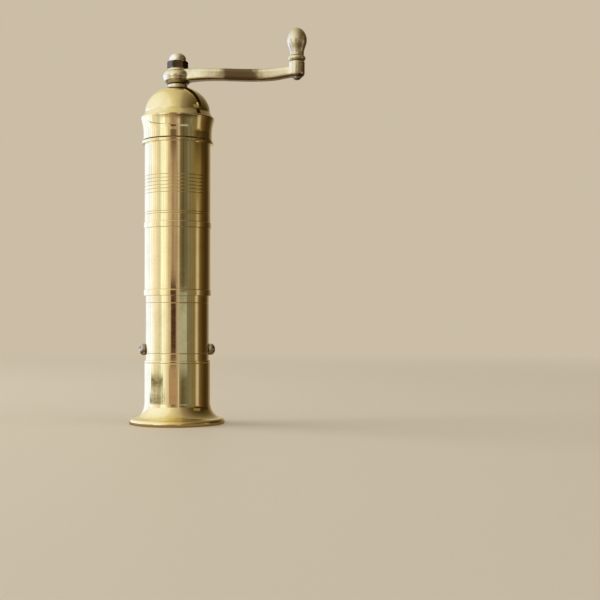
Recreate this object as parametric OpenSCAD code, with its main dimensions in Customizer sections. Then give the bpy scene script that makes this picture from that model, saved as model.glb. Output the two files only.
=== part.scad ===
// Tall hand-cranked pepper mill: a spun brass receiver, hopper and domed lid around a steel burr mechanism.
// Millimetres. The origin is the centre of the foot on the table, +Z is up and the crank rests along +X.

/* [Receiver] */
// Outside diameter of the receiver's straight wall
receiver_d = 44.8; // [43.5:0.1:48]
// Wall of the spun receiver
receiver_wall = 0.8; // [0.6:0.05:1.1]
// Height of the receiver's rim above the table
receiver_h = 43; // [38:0.5:44]
// Diameter of the foot's brim
foot_d = 64.4; // [58:0.2:72]
// Height of the upright edge of the brim
brim_h = 3.2; // [2.4:0.1:5]
// Height at which the flare has run into the straight wall
flare_h = 14.5; // [11:0.5:17]
// Height of the tray's floor above the table
tray_z = 9; // [6:0.5:11]
// Height of the tray's skirt, which carries the mechanism tube
skirt_h = 11; // [8:0.5:12]
// Thickness of the drawn tray
tray_wall = 0.8; // [0.6:0.05:1]
// Depth of the turned line under the receiver's rim
rim_line = 0.25; // [0.1:0.05:0.4]

/* [Mechanism tube] */
// Radial clearance between tubes that slide over each other
slip_gap = 0.06; // [0.03:0.01:0.1]
// Radial gap that solder or a press fit fills
fixed_gap = 0.02; // [0.01:0.01:0.04]
// Wall of the mechanism tube
mech_wall = 0.8; // [0.6:0.05:1]
// Length of the mechanism tube
mech_h = 78; // [72:0.5:84]
// Distance of the tube's two turned lines from the ends of its bare part
mech_line_in = 4.8; // [4:0.1:6]

/* [Side screws] */
// Angle of the screws' axis from the crank's rest direction
screw_angle = 17; // [0:1:90]
// Height of the screws' axis above the receiver's rim
screw_above_rim = 7.3; // [6.5:0.1:9]
// Diameter of the screws' thread
screw_d = 4; // [3:0.1:5]
// Diameter of the round heads
screw_head_d = 7.8; // [6.4:0.1:9]
// Height of the round heads
screw_head_h = 4.3; // [3:0.1:5]
// Width of the screwdriver slots
screw_slot = 1; // [0.6:0.1:1.4]

/* [Burrs] */
// Height of the carrier ring that the side screws hold
carrier_h = 16; // [15:0.5:18]
// Thickness of the carrier's lip under the outer burr
carrier_lip = 3; // [2.6:0.1:4]
// Wall of the carrier around the outer burr
carrier_wall = 2.7; // [2.2:0.1:3.2]
// Tooth-tip diameter of the inner burr at its foot
burr_foot_d = 30; // [27:0.5:31]
// Tooth-tip diameter of the inner burr at its top
burr_top_d = 14; // [13:0.5:16]
// Height of the inner burr's cone
burr_h = 18; // [16:0.5:20]
// Height of the fine teeth at the foot of the cone
fine_h = 7; // [5:0.5:9]
// Radial gap between the tooth tips when set coarse
burr_gap = 0.85; // [0.75:0.05:1.2]
// Number of fine teeth on the inner burr
fine_teeth = 30; // [24:1:36]
// Number of feed flutes on the inner burr
feed_flutes = 7; // [5:1:9]
// Depth of the fine teeth
fine_depth = 1.1; // [0.7:0.05:1.3]
// Depth of the feed flutes
feed_depth = 2.6; // [1.6:0.1:3]
// Number of fine teeth on the outer burr
outer_fine_teeth = 36; // [30:1:42]
// Number of feed flutes on the outer burr
outer_feed_flutes = 9; // [7:1:12]
// Height of the inner burr's hub above its cone
burr_hub_h = 5; // [4:0.5:6]
// Diameter of the inner burr's hub
burr_hub_d = 13; // [11.5:0.5:13]
// Diameter of the cross pin that locks the inner burr
burr_pin_d = 2.4; // [1.8:0.1:3]

/* [Spindle] */
// Width across the square spindle
spindle_w = 6.4; // [6:0.1:6.8]
// Width across the square that the crank sits on
crank_square_w = 5.4; // [5:0.1:5.6]
// Radial clearance of round bores that turn on a shaft
run_gap = 0.07; // [0.03:0.01:0.1]
// Diameter of the thrust ball under the spindle
ball_d = 5; // [4:0.1:5.4]
// Diameter of the thread at the top of the spindle
stud_d = 5; // [4:0.1:5.2]
// Length of the thread at the top of the spindle
stud_h = 8; // [6:0.5:8.5]

/* [Adjusting screw] */
// Thickness of the bar that carries the screw
bar_t = 4; // [3:0.1:5]
// Width of the bar
bar_w = 11; // [10:0.5:13]
// Length of the threaded boss under the bar
boss_h = 4.5; // [3:0.5:5]
// Diameter of the threaded boss
boss_d = 12; // [11:0.5:13]
// Diameter of the adjusting screw
adjust_d = 6; // [5:0.1:6.4]
// Diameter of the knurled head
adjust_head_d = 16; // [13:0.5:20]
// Height of the knurled head
adjust_head_h = 6; // [4:0.5:7]
// Free space between the head and the boss, where the lock spring sits
lock_space = 5.8; // [5:0.1:6.5]
// Wire of the lock spring
lock_wire = 1; // [0.7:0.05:1.1]
// Number of grips around the head
head_grips = 30; // [18:1:36]
// Diameter of the two screws that hold the bar
bar_screw_d = 2.6; // [2:0.1:3]
// How far these screws reach into the carrier
bar_screw_in = 1.8; // [1.2:0.1:2.2]
// Height of their heads
bar_head_h = 1.7; // [1.2:0.1:2.2]

/* [Top bearing] */
// Thickness of the bearing's rim
spider_rim_h = 2; // [1.5:0.1:3]
// Radial width of the bearing's rim
spider_rim_w = 2.5; // [2:0.1:3.5]
// Width of its arms
spider_arm_w = 3.6; // [3:0.1:5]
// Number of arms
spider_arms = 3; // [3:1:4]
// Height of its hub
spider_hub_h = 8; // [7:0.5:9]
// Diameter of its hub
spider_hub_d = 15.6; // [15:0.1:17]
// Wall of the bush
bush_wall = 1.4; // [1:0.1:1.6]
// Thickness of the bush's flange
bush_flange_t = 1.2; // [0.8:0.1:1.6]
// Wire of the burr spring
spring_wire = 1.2; // [0.9:0.05:1.3]
// Working turns of the burr spring
spring_turns = 6; // [4:1:7]
// Thickness of the washer under the burr spring
washer_t = 1.2; // [0.8:0.1:1.5]

/* [Hopper] */
// Outside diameter of the hopper tube
hopper_d = 44.9; // [44.7:0.1:48]
// Bore of the hopper above the mechanism tube
hopper_bore_d = 42.4; // [41.6:0.1:42.6]
// Height of the hopper's lower edge above the table
hopper_z = 86.6; // [80:0.1:92]
// Height of the hopper's upper edge above the table
hopper_top = 205.5; // [195:0.1:215]
// Height of the flat rings around the hopper
band_h = 4.1; // [3:0.1:5]
// How far the flat rings stand out
band_out = 0.45; // [0.3:0.05:0.8]
// Rounding of their edges
band_round = 0.3; // [0.15:0.05:0.4]
// Height of the middle ring above the table
band_z = 134.3; // [120:0.1:140]
// Lowest of the six turned lines
lines_z = 155.5; // [150:0.1:160]
// Spread of the six turned lines
lines_h = 11.9; // [9:0.1:14]
// Depth of a turned line
line_depth = 0.16; // [0.1:0.02:0.3]
// Width of a turned line
line_w = 0.7; // [0.5:0.05:1]
// Height of the pair of turned lines above the table
pair_z = 142.2; // [140:0.1:146]
// Distance between the two lines of the pair
pair_gap = 1.5; // [1.2:0.1:2.5]

/* [Lid] */
// How far the lid's skirt reaches down over the hopper
lid_lap = 16; // [12:0.1:20]
// Wall of the lid's skirt at its waist
waist_wall = 0.8; // [0.6:0.05:1.2]
// Diameter of the flange around the skirt's lower edge
lid_flange_d = 48.6; // [47.4:0.1:51]
// Height of that flange
lid_flange_h = 2; // [1.5:0.1:3]
// Diameter of the cornice at the top of the collar
cornice_d = 49.9; // [48.4:0.1:53]
// Height of the cornice's edge
cornice_h = 0.9; // [0.6:0.1:1.5]
// Height of the sloping shoulder above the cornice
shoulder_h = 3.7; // [3:0.1:5]
// Diameter of the dome's foot
dome_d = 44.4; // [43.5:0.1:46]
// Height of the dome
dome_h = 17.5; // [14:0.1:20]
// Thickness of the spun dome
dome_wall = 0.8; // [0.6:0.05:1.1]
// Diameter of the flat crown
crown_d = 13.8; // [13.6:0.1:16]
// Height of the bush's flange on the crown
ferrule_h = 2; // [1.8:0.1:3.5]
// Diameter of the bush's flange on the crown
ferrule_d = 13.4; // [13:0.1:13.5]

/* [Crank] */
// Distance from the spindle to the knob's pin
crank_r = 83; // [65:0.5:95]
// Largest diameter of the hub
hub_d = 20; // [18:0.2:22]
// Height of the hub
hub_h = 10.3; // [8.5:0.1:11]
// Gap between the hub and the lid's ferrule
hub_lift = 0.3; // [0.2:0.05:0.6]
// Width of the arm at its root
arm_root_w = 11; // [8:0.1:12]
// Width of the arm along its middle
arm_w = 9; // [7:0.1:10]
// How far the arm's root lies above the hub's middle
arm_lift = 0.5; // [0:0.1:0.8]
// How far the arm's top lies under the hub's top at its root
arm_root_in = 0.3; // [0.2:0.1:1]
// How far the arm's end stays above the boss's lower face
arm_end_in = 0.2; // [0.1:0.1:1]
// Height of the arm along its middle
arm_h = 7.6; // [5.5:0.1:8.2]
// Sideways swing of the arm's gentle S
arm_swing = 2.4; // [0:0.1:4]
// How far the arm dips between its root and the boss
arm_dip = 1.3; // [0:0.1:2]
// Diameter of the boss at the arm's end
arm_boss_d = 10.6; // [9:0.1:12]
// Height of the boss at the arm's end
arm_boss_h = 10.2; // [9:0.1:12]
// How far the boss's middle lies above the arm's root
arm_boss_lift = 1.4; // [0.8:0.1:1.5]

/* [Cap nut] */
// Width across the nut's flats
nut_af = 12.6; // [11:0.1:14]
// Height of the nut's hexagon
nut_hex_h = 5.6; // [4.5:0.1:6.5]
// Height of the nut's dome
nut_dome_h = 5.7; // [4.5:0.1:7]
// Diameter of the nut's dome
nut_dome_d = 11.6; // [10:0.1:12]

/* [Knob] */
// Height of the knob
knob_h = 22.5; // [19:0.1:26]
// Largest diameter of the knob
knob_d = 13.4; // [11:0.1:15]
// Height of the knob's crown above its widest place
knob_crown_h = 8.6; // [6:0.1:11]
// Diameter of the knob's neck
knob_neck_d = 9.4; // [8:0.1:10]
// Diameter of the bead under the neck
knob_bead_d = 11.6; // [10:0.1:13]
// Height of that bead
knob_bead_h = 3.6; // [2.6:0.1:4.5]
// Diameter of the knob's pin
pin_d = 4; // [3:0.1:4.6]
// Depth of the pin in the knob
pin_in = 11; // [8:0.5:14]
// Diameter of the pin's riveted head
pin_head_d = 5.4; // [5:0.1:6.2]
// Height of the pin's riveted head
pin_head_h = 1.6; // [1:0.1:2.4]
// Thickness of the washer on the pin
pin_washer_t = 0.6; // [0.4:0.1:1]

/* [Hidden] */
$fn = 96;
arc_steps = 10;   // straight steps along a quarter of a turned curve
wall_grip = 0.2;  // how far a ring's outline reaches into the wall it stands on
eps = 0.01;       // overlap of cutters with the faces that they break

brass = "#c8a85a";
pale_brass = "#cfc096";
steel = "#b9bcc0";
dark_steel = "#6f7378";
bronze = "#b08d57";

// Tubes
receiver_r = receiver_d / 2;
receiver_bore = receiver_r - receiver_wall;
mech_r = receiver_bore - slip_gap;
mech_bore = mech_r - mech_wall;
mech_z = tray_z + skirt_h;
mech_top = mech_z + mech_h;
hopper_r = hopper_d / 2;
hopper_bore = hopper_bore_d / 2;

// Mechanism, from the side screws' height
screw_z = receiver_h + screw_above_rim;
carrier_z = screw_z - carrier_h / 2;
carrier_r = mech_bore - fixed_gap;
carrier_bore = carrier_r - carrier_wall;
outer_burr_r = carrier_bore - fixed_gap;
lip_r = burr_foot_d / 2 + burr_gap + 0.45;
seat_z = carrier_z + carrier_lip;
carrier_top = carrier_z + carrier_h;
burr_z = carrier_z + 0.7;
burr_slope = (burr_foot_d - burr_top_d) / 2 / burr_h;
cone_top = burr_z + burr_h;
burr_hub_top = cone_top + burr_hub_h;
bar_z = carrier_z - bar_t;
boss_z = bar_z - boss_h;
head_top = boss_z - lock_space;
head_z = head_top - adjust_head_h;
ball_z = carrier_z + 0.6;
ball_sink = 0.35;                       // the part of the ball's radius left between its two cups
tip_z = ball_z - ball_sink * ball_d / 2;
spindle_z = ball_z + ball_sink * ball_d / 2;
spindle_corner = spindle_w / sqrt(2);
bush_bore = spindle_corner + run_gap;
bush_r = bush_bore + bush_wall;

// Top bearing
hub_bottom = mech_top + spider_rim_h - spider_hub_h;
flange_z = hub_bottom - bush_flange_t;
coil_r = spindle_corner + spring_wire / 2 + 0.5;
washer_top = burr_hub_top + washer_t;

// Lid
skirt_bore = hopper_r + slip_gap;
waist_r = skirt_bore + waist_wall;
lid_z = hopper_top - lid_lap;
cornice_z = hopper_top + 1.3;
dome_z = cornice_z + cornice_h + shoulder_h;
dome_r = dome_d / 2;
crown_z = dome_z + dome_h;
ferrule_top = crown_z + ferrule_h;
lid_bush_r = bush_bore + 1;

// Crank
hub_z = ferrule_top + hub_lift;
hub_top = hub_z + hub_h;
arm_z = hub_z + hub_h / 2 + arm_lift;
arm_root_h = 2 * (hub_top - arm_root_in - arm_z);
stud_z = hub_top - 0.6;
arm_boss_z = arm_z + arm_boss_lift - arm_boss_h / 2;
arm_boss_top = arm_boss_z + arm_boss_h;
knob_z = arm_boss_top + 0.25;
pin_gap = run_gap;
pin_low = arm_boss_z - 0.1 - pin_washer_t;

// A rotation to the axis of the side screws, and one at each end of it
module along_screws() { rotate(screw_angle) children(); }
module both_ends() { for (turn = [0, 180]) rotate(turn) children(); }

// Points of an elliptical arc about c, from angle a0 to a1
function arc(c, rx, ry, a0, a1, steps = arc_steps) =
    [for (i = [0 : steps]) let (a = a0 + (a1 - a0) * i / steps) c + [rx * cos(a), ry * sin(a)]];

// A plain ring standing on z
module ring(outer, inner, z, h) {
    translate([0, 0, z]) rotate_extrude() translate([inner, 0]) square([outer - inner, h]);
}

// Flat ring with rounded edges that stands out of a wall of radius r, as an outline from its lower edge at z
module band_2d(r, z) {
    edge = r + band_out - band_round;
    polygon(concat([[r - wall_grip, z]],
        arc([edge, z + band_round], band_round, band_round, -90, 0, 4),
        arc([edge, z + band_h - band_round], band_round, band_round, 0, 90, 4), [[r - wall_grip, z + band_h]]));
}

// Outline of the cutter for one turned line around a wall of radius r
module line_2d(r, z) {
    translate([r, z]) polygon([[line_depth, -line_w], [line_depth, line_w], [-line_depth, 0]]);
}

// A closed skin over rings of points that all hold the same number
module skin(rings) {
    n = len(rings[0]);
    last = len(rings) - 1;
    faces = concat(
        [[for (j = [0 : n - 1]) j]],
        [for (i = [0 : last - 1], j = [0 : n - 1])
            let (a = i * n + j, b = i * n + (j + 1) % n) each [[a, a + n, b + n], [a, b + n, b]]],
        [[for (j = [n - 1 : -1 : 0]) last * n + j]]);
    polyhedron([for (ring_points = rings) each ring_points], faces, convexity = 8);
}

// Compression spring of round wire between two heights, with one closed coil at each end
module coil_spring(mean_r, wire, low, high, turns) {
    steps = 16;
    sides = 8;
    closed_rise = wire * 1.06;
    open_rise = (high - low - wire - 2 * closed_rise) / turns;
    function rise(t) = t < 1 ? t * closed_rise
        : t < turns + 1 ? closed_rise + (t - 1) * open_rise
        : closed_rise + turns * open_rise + (t - turns - 1) * closed_rise;
    skin([for (i = [0 : (turns + 2) * steps]) let (a = 360 * i / steps, z = low + wire / 2 + rise(i / steps))
        [for (j = [0 : sides - 1]) let (b = 360 * j / sides, r = mean_r + wire / 2 * cos(b))
            [r * cos(a), r * sin(a), z + wire / 2 * sin(b)]]]);
}

// Conical core with spiral teeth, whose tips run from radius low at z to high at the top
module toothed_cone(low, high, z, h, teeth, depth, twist, slices) {
    translate([0, 0, z]) linear_extrude(height = h, twist = twist, scale = high / low, slices = slices)
        polygon([for (i = [0 : teeth - 1]) each [
            for (step = [[0, 0], [0.16, 0], [0.62, depth]]) let (a = 360 * (i + step[0]) / teeth)
                (low - step[1]) * [cos(a), sin(a)]]]);
}

module receiver_cup() {
    foot_r = foot_d / 2;
    brim_top_r = foot_r - 1;
    flare_foot = brim_h + 0.6;
    hem = 2.2;                          // radial width of the brim's flat underside
    color(brass) rotate_extrude() polygon(concat(
        [[foot_r - hem, 0], [foot_r - 0.5, 0], [foot_r, 0.6]],
        [[foot_r, brim_h - 0.8]],
        arc([foot_r - 0.8, brim_h - 0.8], 0.8, 0.8, 15, 90, 4),
        arc([brim_top_r, flare_h], brim_top_r - receiver_r, flare_h - flare_foot, 270, 180),
        [[receiver_r, receiver_h - 1.8], [receiver_r - rim_line, receiver_h - 1.6],
         [receiver_r, receiver_h - 1.4], [receiver_r, receiver_h - 0.3], [receiver_r - 0.3, receiver_h],
         [receiver_bore, receiver_h]],
        arc([brim_top_r, flare_h], brim_top_r - receiver_bore, flare_h - flare_foot + receiver_wall + 0.3,
            180, 250),
        [[foot_r - hem, 1.6]]));
}

module receiver_tray() {
    rim = receiver_bore - fixed_gap;
    corner = 1.6;
    color(brass) rotate_extrude() polygon(concat(
        [[0, tray_z]],
        arc([rim - corner, tray_z + corner], corner, corner, -90, 0, 5),
        [[rim, mech_z], [rim - tray_wall, mech_z]],
        arc([rim - corner, tray_z + corner], corner - tray_wall, corner - tray_wall, 0, -90, 5),
        [[0, tray_z + tray_wall]]));
}

module mechanism_tube() {
    color(brass) difference() {
        rotate_extrude() difference() {
            translate([mech_bore, mech_z]) square([mech_wall, mech_h]);
            line_2d(mech_r, receiver_h + mech_line_in);
            line_2d(mech_r, hopper_z - mech_line_in);
        }
        along_screws() both_ends() translate([mech_bore - 1, 0, screw_z]) rotate([0, 90, 0])
            cylinder(h = mech_wall + 2, d = screw_d + 2 * fixed_gap);
    }
}

module burr_carrier() {
    color(pale_brass) difference() {
        rotate_extrude() polygon([[lip_r, carrier_z], [carrier_r, carrier_z], [carrier_r, carrier_top],
            [carrier_bore, carrier_top], [carrier_bore, seat_z], [lip_r, seat_z]]);
        side_screw_holes();
        bar_screw_holes(carrier_z - eps, bar_screw_in + 0.2);
    }
}

module side_screw_holes() {
    along_screws() both_ends() translate([carrier_bore - 1, 0, screw_z]) rotate([0, 90, 0])
        cylinder(h = carrier_r, d = screw_d + 2 * fixed_gap);
}

module outer_burr() {
    top_h = carrier_top - seat_z;
    fine_top = burr_z + fine_h;
    // The bore is toothed like the inner burr, wider by the gap between the tooth tips
    function tip(z) = burr_foot_d / 2 - (z - burr_z) * burr_slope + burr_gap;
    color(dark_steel) difference() {
        ring(outer_burr_r, 2, seat_z, top_h);
        toothed_bore(tip(seat_z - 1), tip(fine_top), seat_z - 1, fine_top - seat_z + 1, outer_fine_teeth,
                     fine_depth, 10, 4);
        toothed_bore(tip(fine_top), tip(carrier_top + 1), fine_top - eps, carrier_top + 1 - fine_top,
                     outer_feed_flutes, feed_depth * 0.7, 24, 8);
        translate([0, 0, carrier_top - 3]) cylinder(h = 3 + eps, r1 = tip(carrier_top - 3),
                                                    r2 = outer_burr_r - 2);
    }
}

// Cutter for a toothed bore: its smallest radius is the outer burr's tooth tip
module toothed_bore(low, high, z, h, teeth, depth, twist, slices) {
    translate([0, 0, z]) linear_extrude(height = h, twist = -twist, scale = high / low, slices = slices)
        polygon([for (i = [0 : teeth - 1]) each [
            for (step = [[0, 0], [0.16, 0], [0.62, depth]]) let (a = 360 * (i + step[0]) / teeth)
                (low + step[1]) * [cos(a), sin(a)]]]);
}

module side_screws() {
    inner_end = outer_burr_r + 0.15;
    color(steel) along_screws() both_ends() translate([0, 0, screw_z]) rotate([0, 90, 0]) difference() {
        rotate_extrude() polygon(concat(
            [[0, inner_end], [screw_d / 2 - 0.3, inner_end], [screw_d / 2, inner_end + 0.3],
             [screw_d / 2, mech_r], [screw_head_d / 2, mech_r]],
            arc([0, mech_r + screw_head_h * 0.3], screw_head_d / 2, screw_head_h * 0.7, 0, 90, 8)));
        translate([-screw_slot / 2, -screw_head_d / 2, mech_r + screw_head_h * 0.62])
            cube([screw_slot, screw_head_d, screw_head_h]);
    }
}

// Where the bar's two screws stand, on the bar's own axis
bar_screw_r = (carrier_r + lip_r) / 2;
module bar_axis() { rotate(screw_angle + 90) both_ends() translate([bar_screw_r, 0, 0]) children(); }
module bar_screw_holes(z, h) {
    bar_axis() translate([0, 0, z]) cylinder(h = h, d = bar_screw_d + 2 * fixed_gap);
}

module screw_bar() {
    bar_end = carrier_r - 0.2;
    color(steel) difference() {
        union() {
            translate([0, 0, bar_z]) rotate(screw_angle + 90) intersection() {
                cylinder(h = bar_t, r = bar_end);
                translate([-bar_end, -bar_w / 2, 0]) cube([2 * bar_end, bar_w, bar_t]);
            }
            translate([0, 0, boss_z]) cylinder(h = boss_h + bar_t / 2, d = boss_d);
        }
        translate([0, 0, boss_z - eps]) cylinder(h = boss_h + bar_t + 2 * eps, r = adjust_d / 2 + run_gap);
        translate([0, 0, carrier_z - 0.9]) cylinder(h = 1, r1 = adjust_d / 2 + 0.1, r2 = ball_d / 2 + 1.6);
        bar_screw_holes(bar_z - eps, bar_t + 2 * eps);
    }
}

module bar_screws() {
    head_r = carrier_r - bar_screw_r - 0.15;
    slot_h = bar_head_h * 0.6;
    color(steel) bar_axis() difference() {
        translate([0, 0, bar_z]) rotate_extrude() polygon(concat(
            arc([0, -bar_head_h * 0.4], head_r, bar_head_h * 0.6, -90, 0, 6),
            [[head_r, 0], [bar_screw_d / 2, 0], [bar_screw_d / 2, bar_t + bar_screw_in],
             [0, bar_t + bar_screw_in]]));
        translate([-head_r, -bar_head_h / 4, bar_z - bar_head_h - slot_h / 2])
            cube([2 * head_r, bar_head_h / 2, slot_h]);
    }
}

module lock_spring() {
    color(steel) coil_spring(adjust_d / 2 + lock_wire / 2 + 0.6, lock_wire, head_top, boss_z, 1);
}

module adjusting_screw() {
    r = adjust_head_d / 2;
    color(pale_brass) difference() {
        union() {
            intersection() {
                translate([0, 0, head_z]) linear_extrude(adjust_head_h)
                    polygon([for (i = [0 : 2 * head_grips - 1]) let (a = 180 * i / head_grips)
                        (r - 0.5 * (i % 2)) * [cos(a), sin(a)]]);
                translate([0, 0, head_z]) rotate_extrude() polygon([[0, 0], [r - 1, 0], [r + 0.2, 1.2],
                    [r + 0.2, adjust_head_h - 1.2], [r - 1, adjust_head_h], [0, adjust_head_h]]);
            }
            translate([0, 0, head_top - eps]) cylinder(h = tip_z - head_top + eps, d = adjust_d);
        }
        translate([0, 0, ball_z]) sphere(d = ball_d + 2 * run_gap);
        translate([-r - 1, -0.8, head_z - 1]) cube([2 * r + 2, 1.6, 2.4]);
    }
}

module thrust_ball() {
    color(steel) translate([0, 0, ball_z]) sphere(d = ball_d);
}

module spindle() {
    color(steel) difference() {
        union() {
            translate([-spindle_w / 2, -spindle_w / 2, spindle_z])
                cube([spindle_w, spindle_w, hub_z - spindle_z]);
            translate([-crank_square_w / 2, -crank_square_w / 2, hub_z - eps])
                cube([crank_square_w, crank_square_w, stud_z - hub_z + eps]);
            translate([0, 0, stud_z - eps]) rotate_extrude() polygon([[0, 0], [stud_d / 2, 0],
                [stud_d / 2, stud_h - 0.6], [stud_d / 2 - 0.6, stud_h], [0, stud_h]]);
        }
        translate([0, 0, ball_z]) sphere(d = ball_d + 2 * run_gap);
        burr_pin_hole(spindle_w);
    }
}

pin_hole_z = cone_top + burr_hub_h / 2;
module burr_pin_hole(reach) {
    translate([0, 0, pin_hole_z]) rotate([90, 0, 0])
        cylinder(h = 2 * reach, d = burr_pin_d + 2 * fixed_gap, center = true);
}

module inner_burr() {
    foot_r = burr_foot_d / 2;
    mid_r = foot_r - fine_h * burr_slope;
    square_hole = spindle_w + 2 * fixed_gap;
    color(dark_steel) difference() {
        union() {
            toothed_cone(foot_r, mid_r, burr_z, fine_h, fine_teeth, fine_depth, 14, 4);
            toothed_cone(mid_r, burr_top_d / 2, burr_z + fine_h - eps, burr_h - fine_h, feed_flutes, feed_depth,
                         70, 14);
            translate([0, 0, burr_z + 1]) cylinder(h = burr_h + burr_hub_h - 1, d = burr_hub_d);
        }
        translate([-square_hole / 2, -square_hole / 2, burr_z - 1])
            cube([square_hole, square_hole, burr_h + burr_hub_h + 2]);
        burr_pin_hole(burr_hub_d);
    }
}

module burr_pin() {
    color(steel) translate([0, 0, pin_hole_z]) rotate([90, 0, 0])
        cylinder(h = burr_hub_d - 0.4, d = burr_pin_d, center = true);
}

module spring_washer() {
    color(steel) ring(coil_r + spring_wire / 2 + 0.6, bush_bore, burr_hub_top, washer_t);
}

module burr_spring() {
    color(steel) coil_spring(coil_r, spring_wire, washer_top, flange_z, spring_turns);
}

module top_bearing() {
    rim_top = mech_top + spider_rim_h;
    hub_r = spider_hub_d / 2;
    rim_r = mech_r - fixed_gap;
    color(pale_brass) difference() {
        union() {
            ring(rim_r, rim_r - spider_rim_w, mech_top, spider_rim_h);
            for (i = [0 : spider_arms - 1]) rotate(screw_angle + 360 * i / spider_arms)
                translate([bush_r, -spider_arm_w / 2, mech_top])
                    cube([rim_r - bush_r - 1, spider_arm_w, spider_rim_h]);
            translate([0, 0, hub_bottom]) cylinder(h = spider_hub_h, r = hub_r);
        }
        translate([0, 0, hub_bottom - eps]) cylinder(h = spider_hub_h + 2 * eps, r = bush_r + fixed_gap);
    }
}

module spindle_bush() {
    color(bronze) {
        ring(bush_r, bush_bore, flange_z, bush_flange_t + spider_hub_h + 0.5);
        ring(spider_hub_d / 2, bush_r - eps, flange_z, bush_flange_t);
    }
}

module hopper_tube() {
    step_z = mech_top + spider_rim_h;
    color(brass) rotate_extrude() difference() {
        union() {
            polygon([[mech_r + fixed_gap, hopper_z], [hopper_r, hopper_z], [hopper_r, hopper_top - 0.4],
                     [hopper_r - 0.4, hopper_top], [hopper_bore, hopper_top], [hopper_bore, step_z],
                     [mech_r + fixed_gap, step_z]]);
            band_2d(hopper_r, hopper_z);
            band_2d(hopper_r, band_z - band_h / 2);
        }
        for (i = [0 : 5]) line_2d(hopper_r, lines_z + lines_h * i / 5);
        for (side = [-1, 1]) line_2d(hopper_r, pair_z + side * pair_gap / 2);
    }
}

module lid_collar() {
    flange_r = lid_flange_d / 2;
    cornice_r = cornice_d / 2;
    waist_low = lid_z + lid_flange_h + 1.6;
    waist_high = waist_low + 3.4;
    color(brass) rotate_extrude() polygon(concat(
        [[skirt_bore, lid_z], [flange_r - 0.3, lid_z]],
        arc([flange_r - 0.6, lid_z + lid_flange_h / 2], 0.6, lid_flange_h / 2, -70, 90, 6),
        arc([flange_r - 0.6, waist_low], flange_r - 0.6 - waist_r, waist_low - lid_z - lid_flange_h,
            -90, -180, 5),
        arc([cornice_r, waist_high], cornice_r - waist_r, cornice_z - waist_high, 180, 120, 8),
        [[cornice_r, cornice_z], [cornice_r, cornice_z + cornice_h],
         [cornice_r - 0.4, cornice_z + cornice_h + 0.3],
         [dome_r + 0.35, dome_z - 0.6], [dome_r + 0.1, dome_z],
         [hopper_bore, dome_z], [hopper_bore, hopper_top], [skirt_bore, hopper_top]]));
}

// Height of an elliptical dome that reaches h where its radius has shrunk to crown
function dome_axis(r, h, crown) = h / sqrt(1 - pow(crown / r, 2));

module lid_dome() {
    crown_r = crown_d / 2;
    rise = dome_axis(dome_r, dome_h, crown_r);
    stop = asin(dome_h / rise);
    inner_r = dome_r - dome_wall;
    inner_rise = rise - dome_wall;
    inner_stop = asin((dome_h - dome_wall) / inner_rise);
    color(brass) rotate_extrude() polygon(concat(
        arc([0, dome_z], dome_r, rise, 0, stop, 20),
        [[lid_bush_r + fixed_gap, crown_z], [lid_bush_r + fixed_gap, crown_z - dome_wall]],
        arc([0, dome_z], inner_r, inner_rise, inner_stop, 0, 20)));
}

module lid_bush() {
    body_low = crown_z - dome_wall - 4;
    color(pale_brass) rotate_extrude() polygon([[bush_bore, body_low], [lid_bush_r, body_low],
        [lid_bush_r, crown_z], [ferrule_d / 2, crown_z], [ferrule_d / 2, ferrule_top - 0.5],
        [ferrule_d / 2 - 0.5, ferrule_top], [bush_bore, ferrule_top]]);
}

// One section of the cast arm at distance x: a rounded rectangle across the arm
function arm_section(x) =
    let (s = (x - hub_d / 4) / (crank_r - hub_d / 4),
         root = pow(max(0, 1 - s / 0.3), 2),
         end = pow(min(1, max(0, (s - 0.75) / 0.2)), 2),
         w = arm_w + (arm_root_w - arm_w) * root - 0.8 * end,
         y = -arm_swing * sin(360 * s) * (1 - 0.35 * s),
         high = arm_z - arm_dip * sin(180 * pow(s, 1.7)) + (arm_h + (arm_root_h - arm_h) * root) / 2,
         low = (high - arm_h - (arm_root_h - arm_h) * root) * (1 - end) + (arm_boss_z + arm_end_in) * end,
         z = (high + low) / 2,
         h = high - low)
    [for (j = [0 : 19]) let (a = 18 * j, c = cos(a), q = sin(a))
        [x, y + w / 2 * sign(c) * pow(abs(c), 0.55), z + h / 2 * sign(q) * pow(abs(q), 0.55)]];

module crank_arm() {
    hub_r = hub_d / 2;
    square_hole = crank_square_w + 2 * fixed_gap;
    steps = 24;
    color(pale_brass) difference() {
        union() {
            rotate_extrude() polygon(concat(
                [[0, hub_z], [hub_r - 2.6, hub_z], [hub_r - 0.6, hub_z + 2]],
                arc([hub_r - 3, hub_z + hub_h * 0.52], 3, hub_h * 0.34, -40, 90, 8),
                [[hub_r - 3.2, hub_top - 0.6], [hub_r - 3.2, hub_top], [0, hub_top]]));
            skin([for (i = [0 : steps]) arm_section(hub_d / 4 + (crank_r - hub_d / 4) * i / steps)]);
            translate([crank_r, 0, 0]) rotate_extrude() polygon(concat(
                [[0, arm_boss_z], [arm_boss_d / 2 - 2, arm_boss_z]],
                arc([arm_boss_d / 2 - 2, arm_boss_z + 2.4], 2, 2.4, -70, 0, 5),
                [[arm_boss_d / 2, arm_boss_top - 0.5], [arm_boss_d / 2 - 0.5, arm_boss_top], [0, arm_boss_top]]));
        }
        translate([-square_hole / 2, -square_hole / 2, hub_z - 1]) cube([square_hole, square_hole, hub_h + 2]);
        translate([crank_r, 0, arm_boss_z - 1]) cylinder(h = arm_boss_h + 2, r = pin_d / 2 + pin_gap);
    }
}

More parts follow.
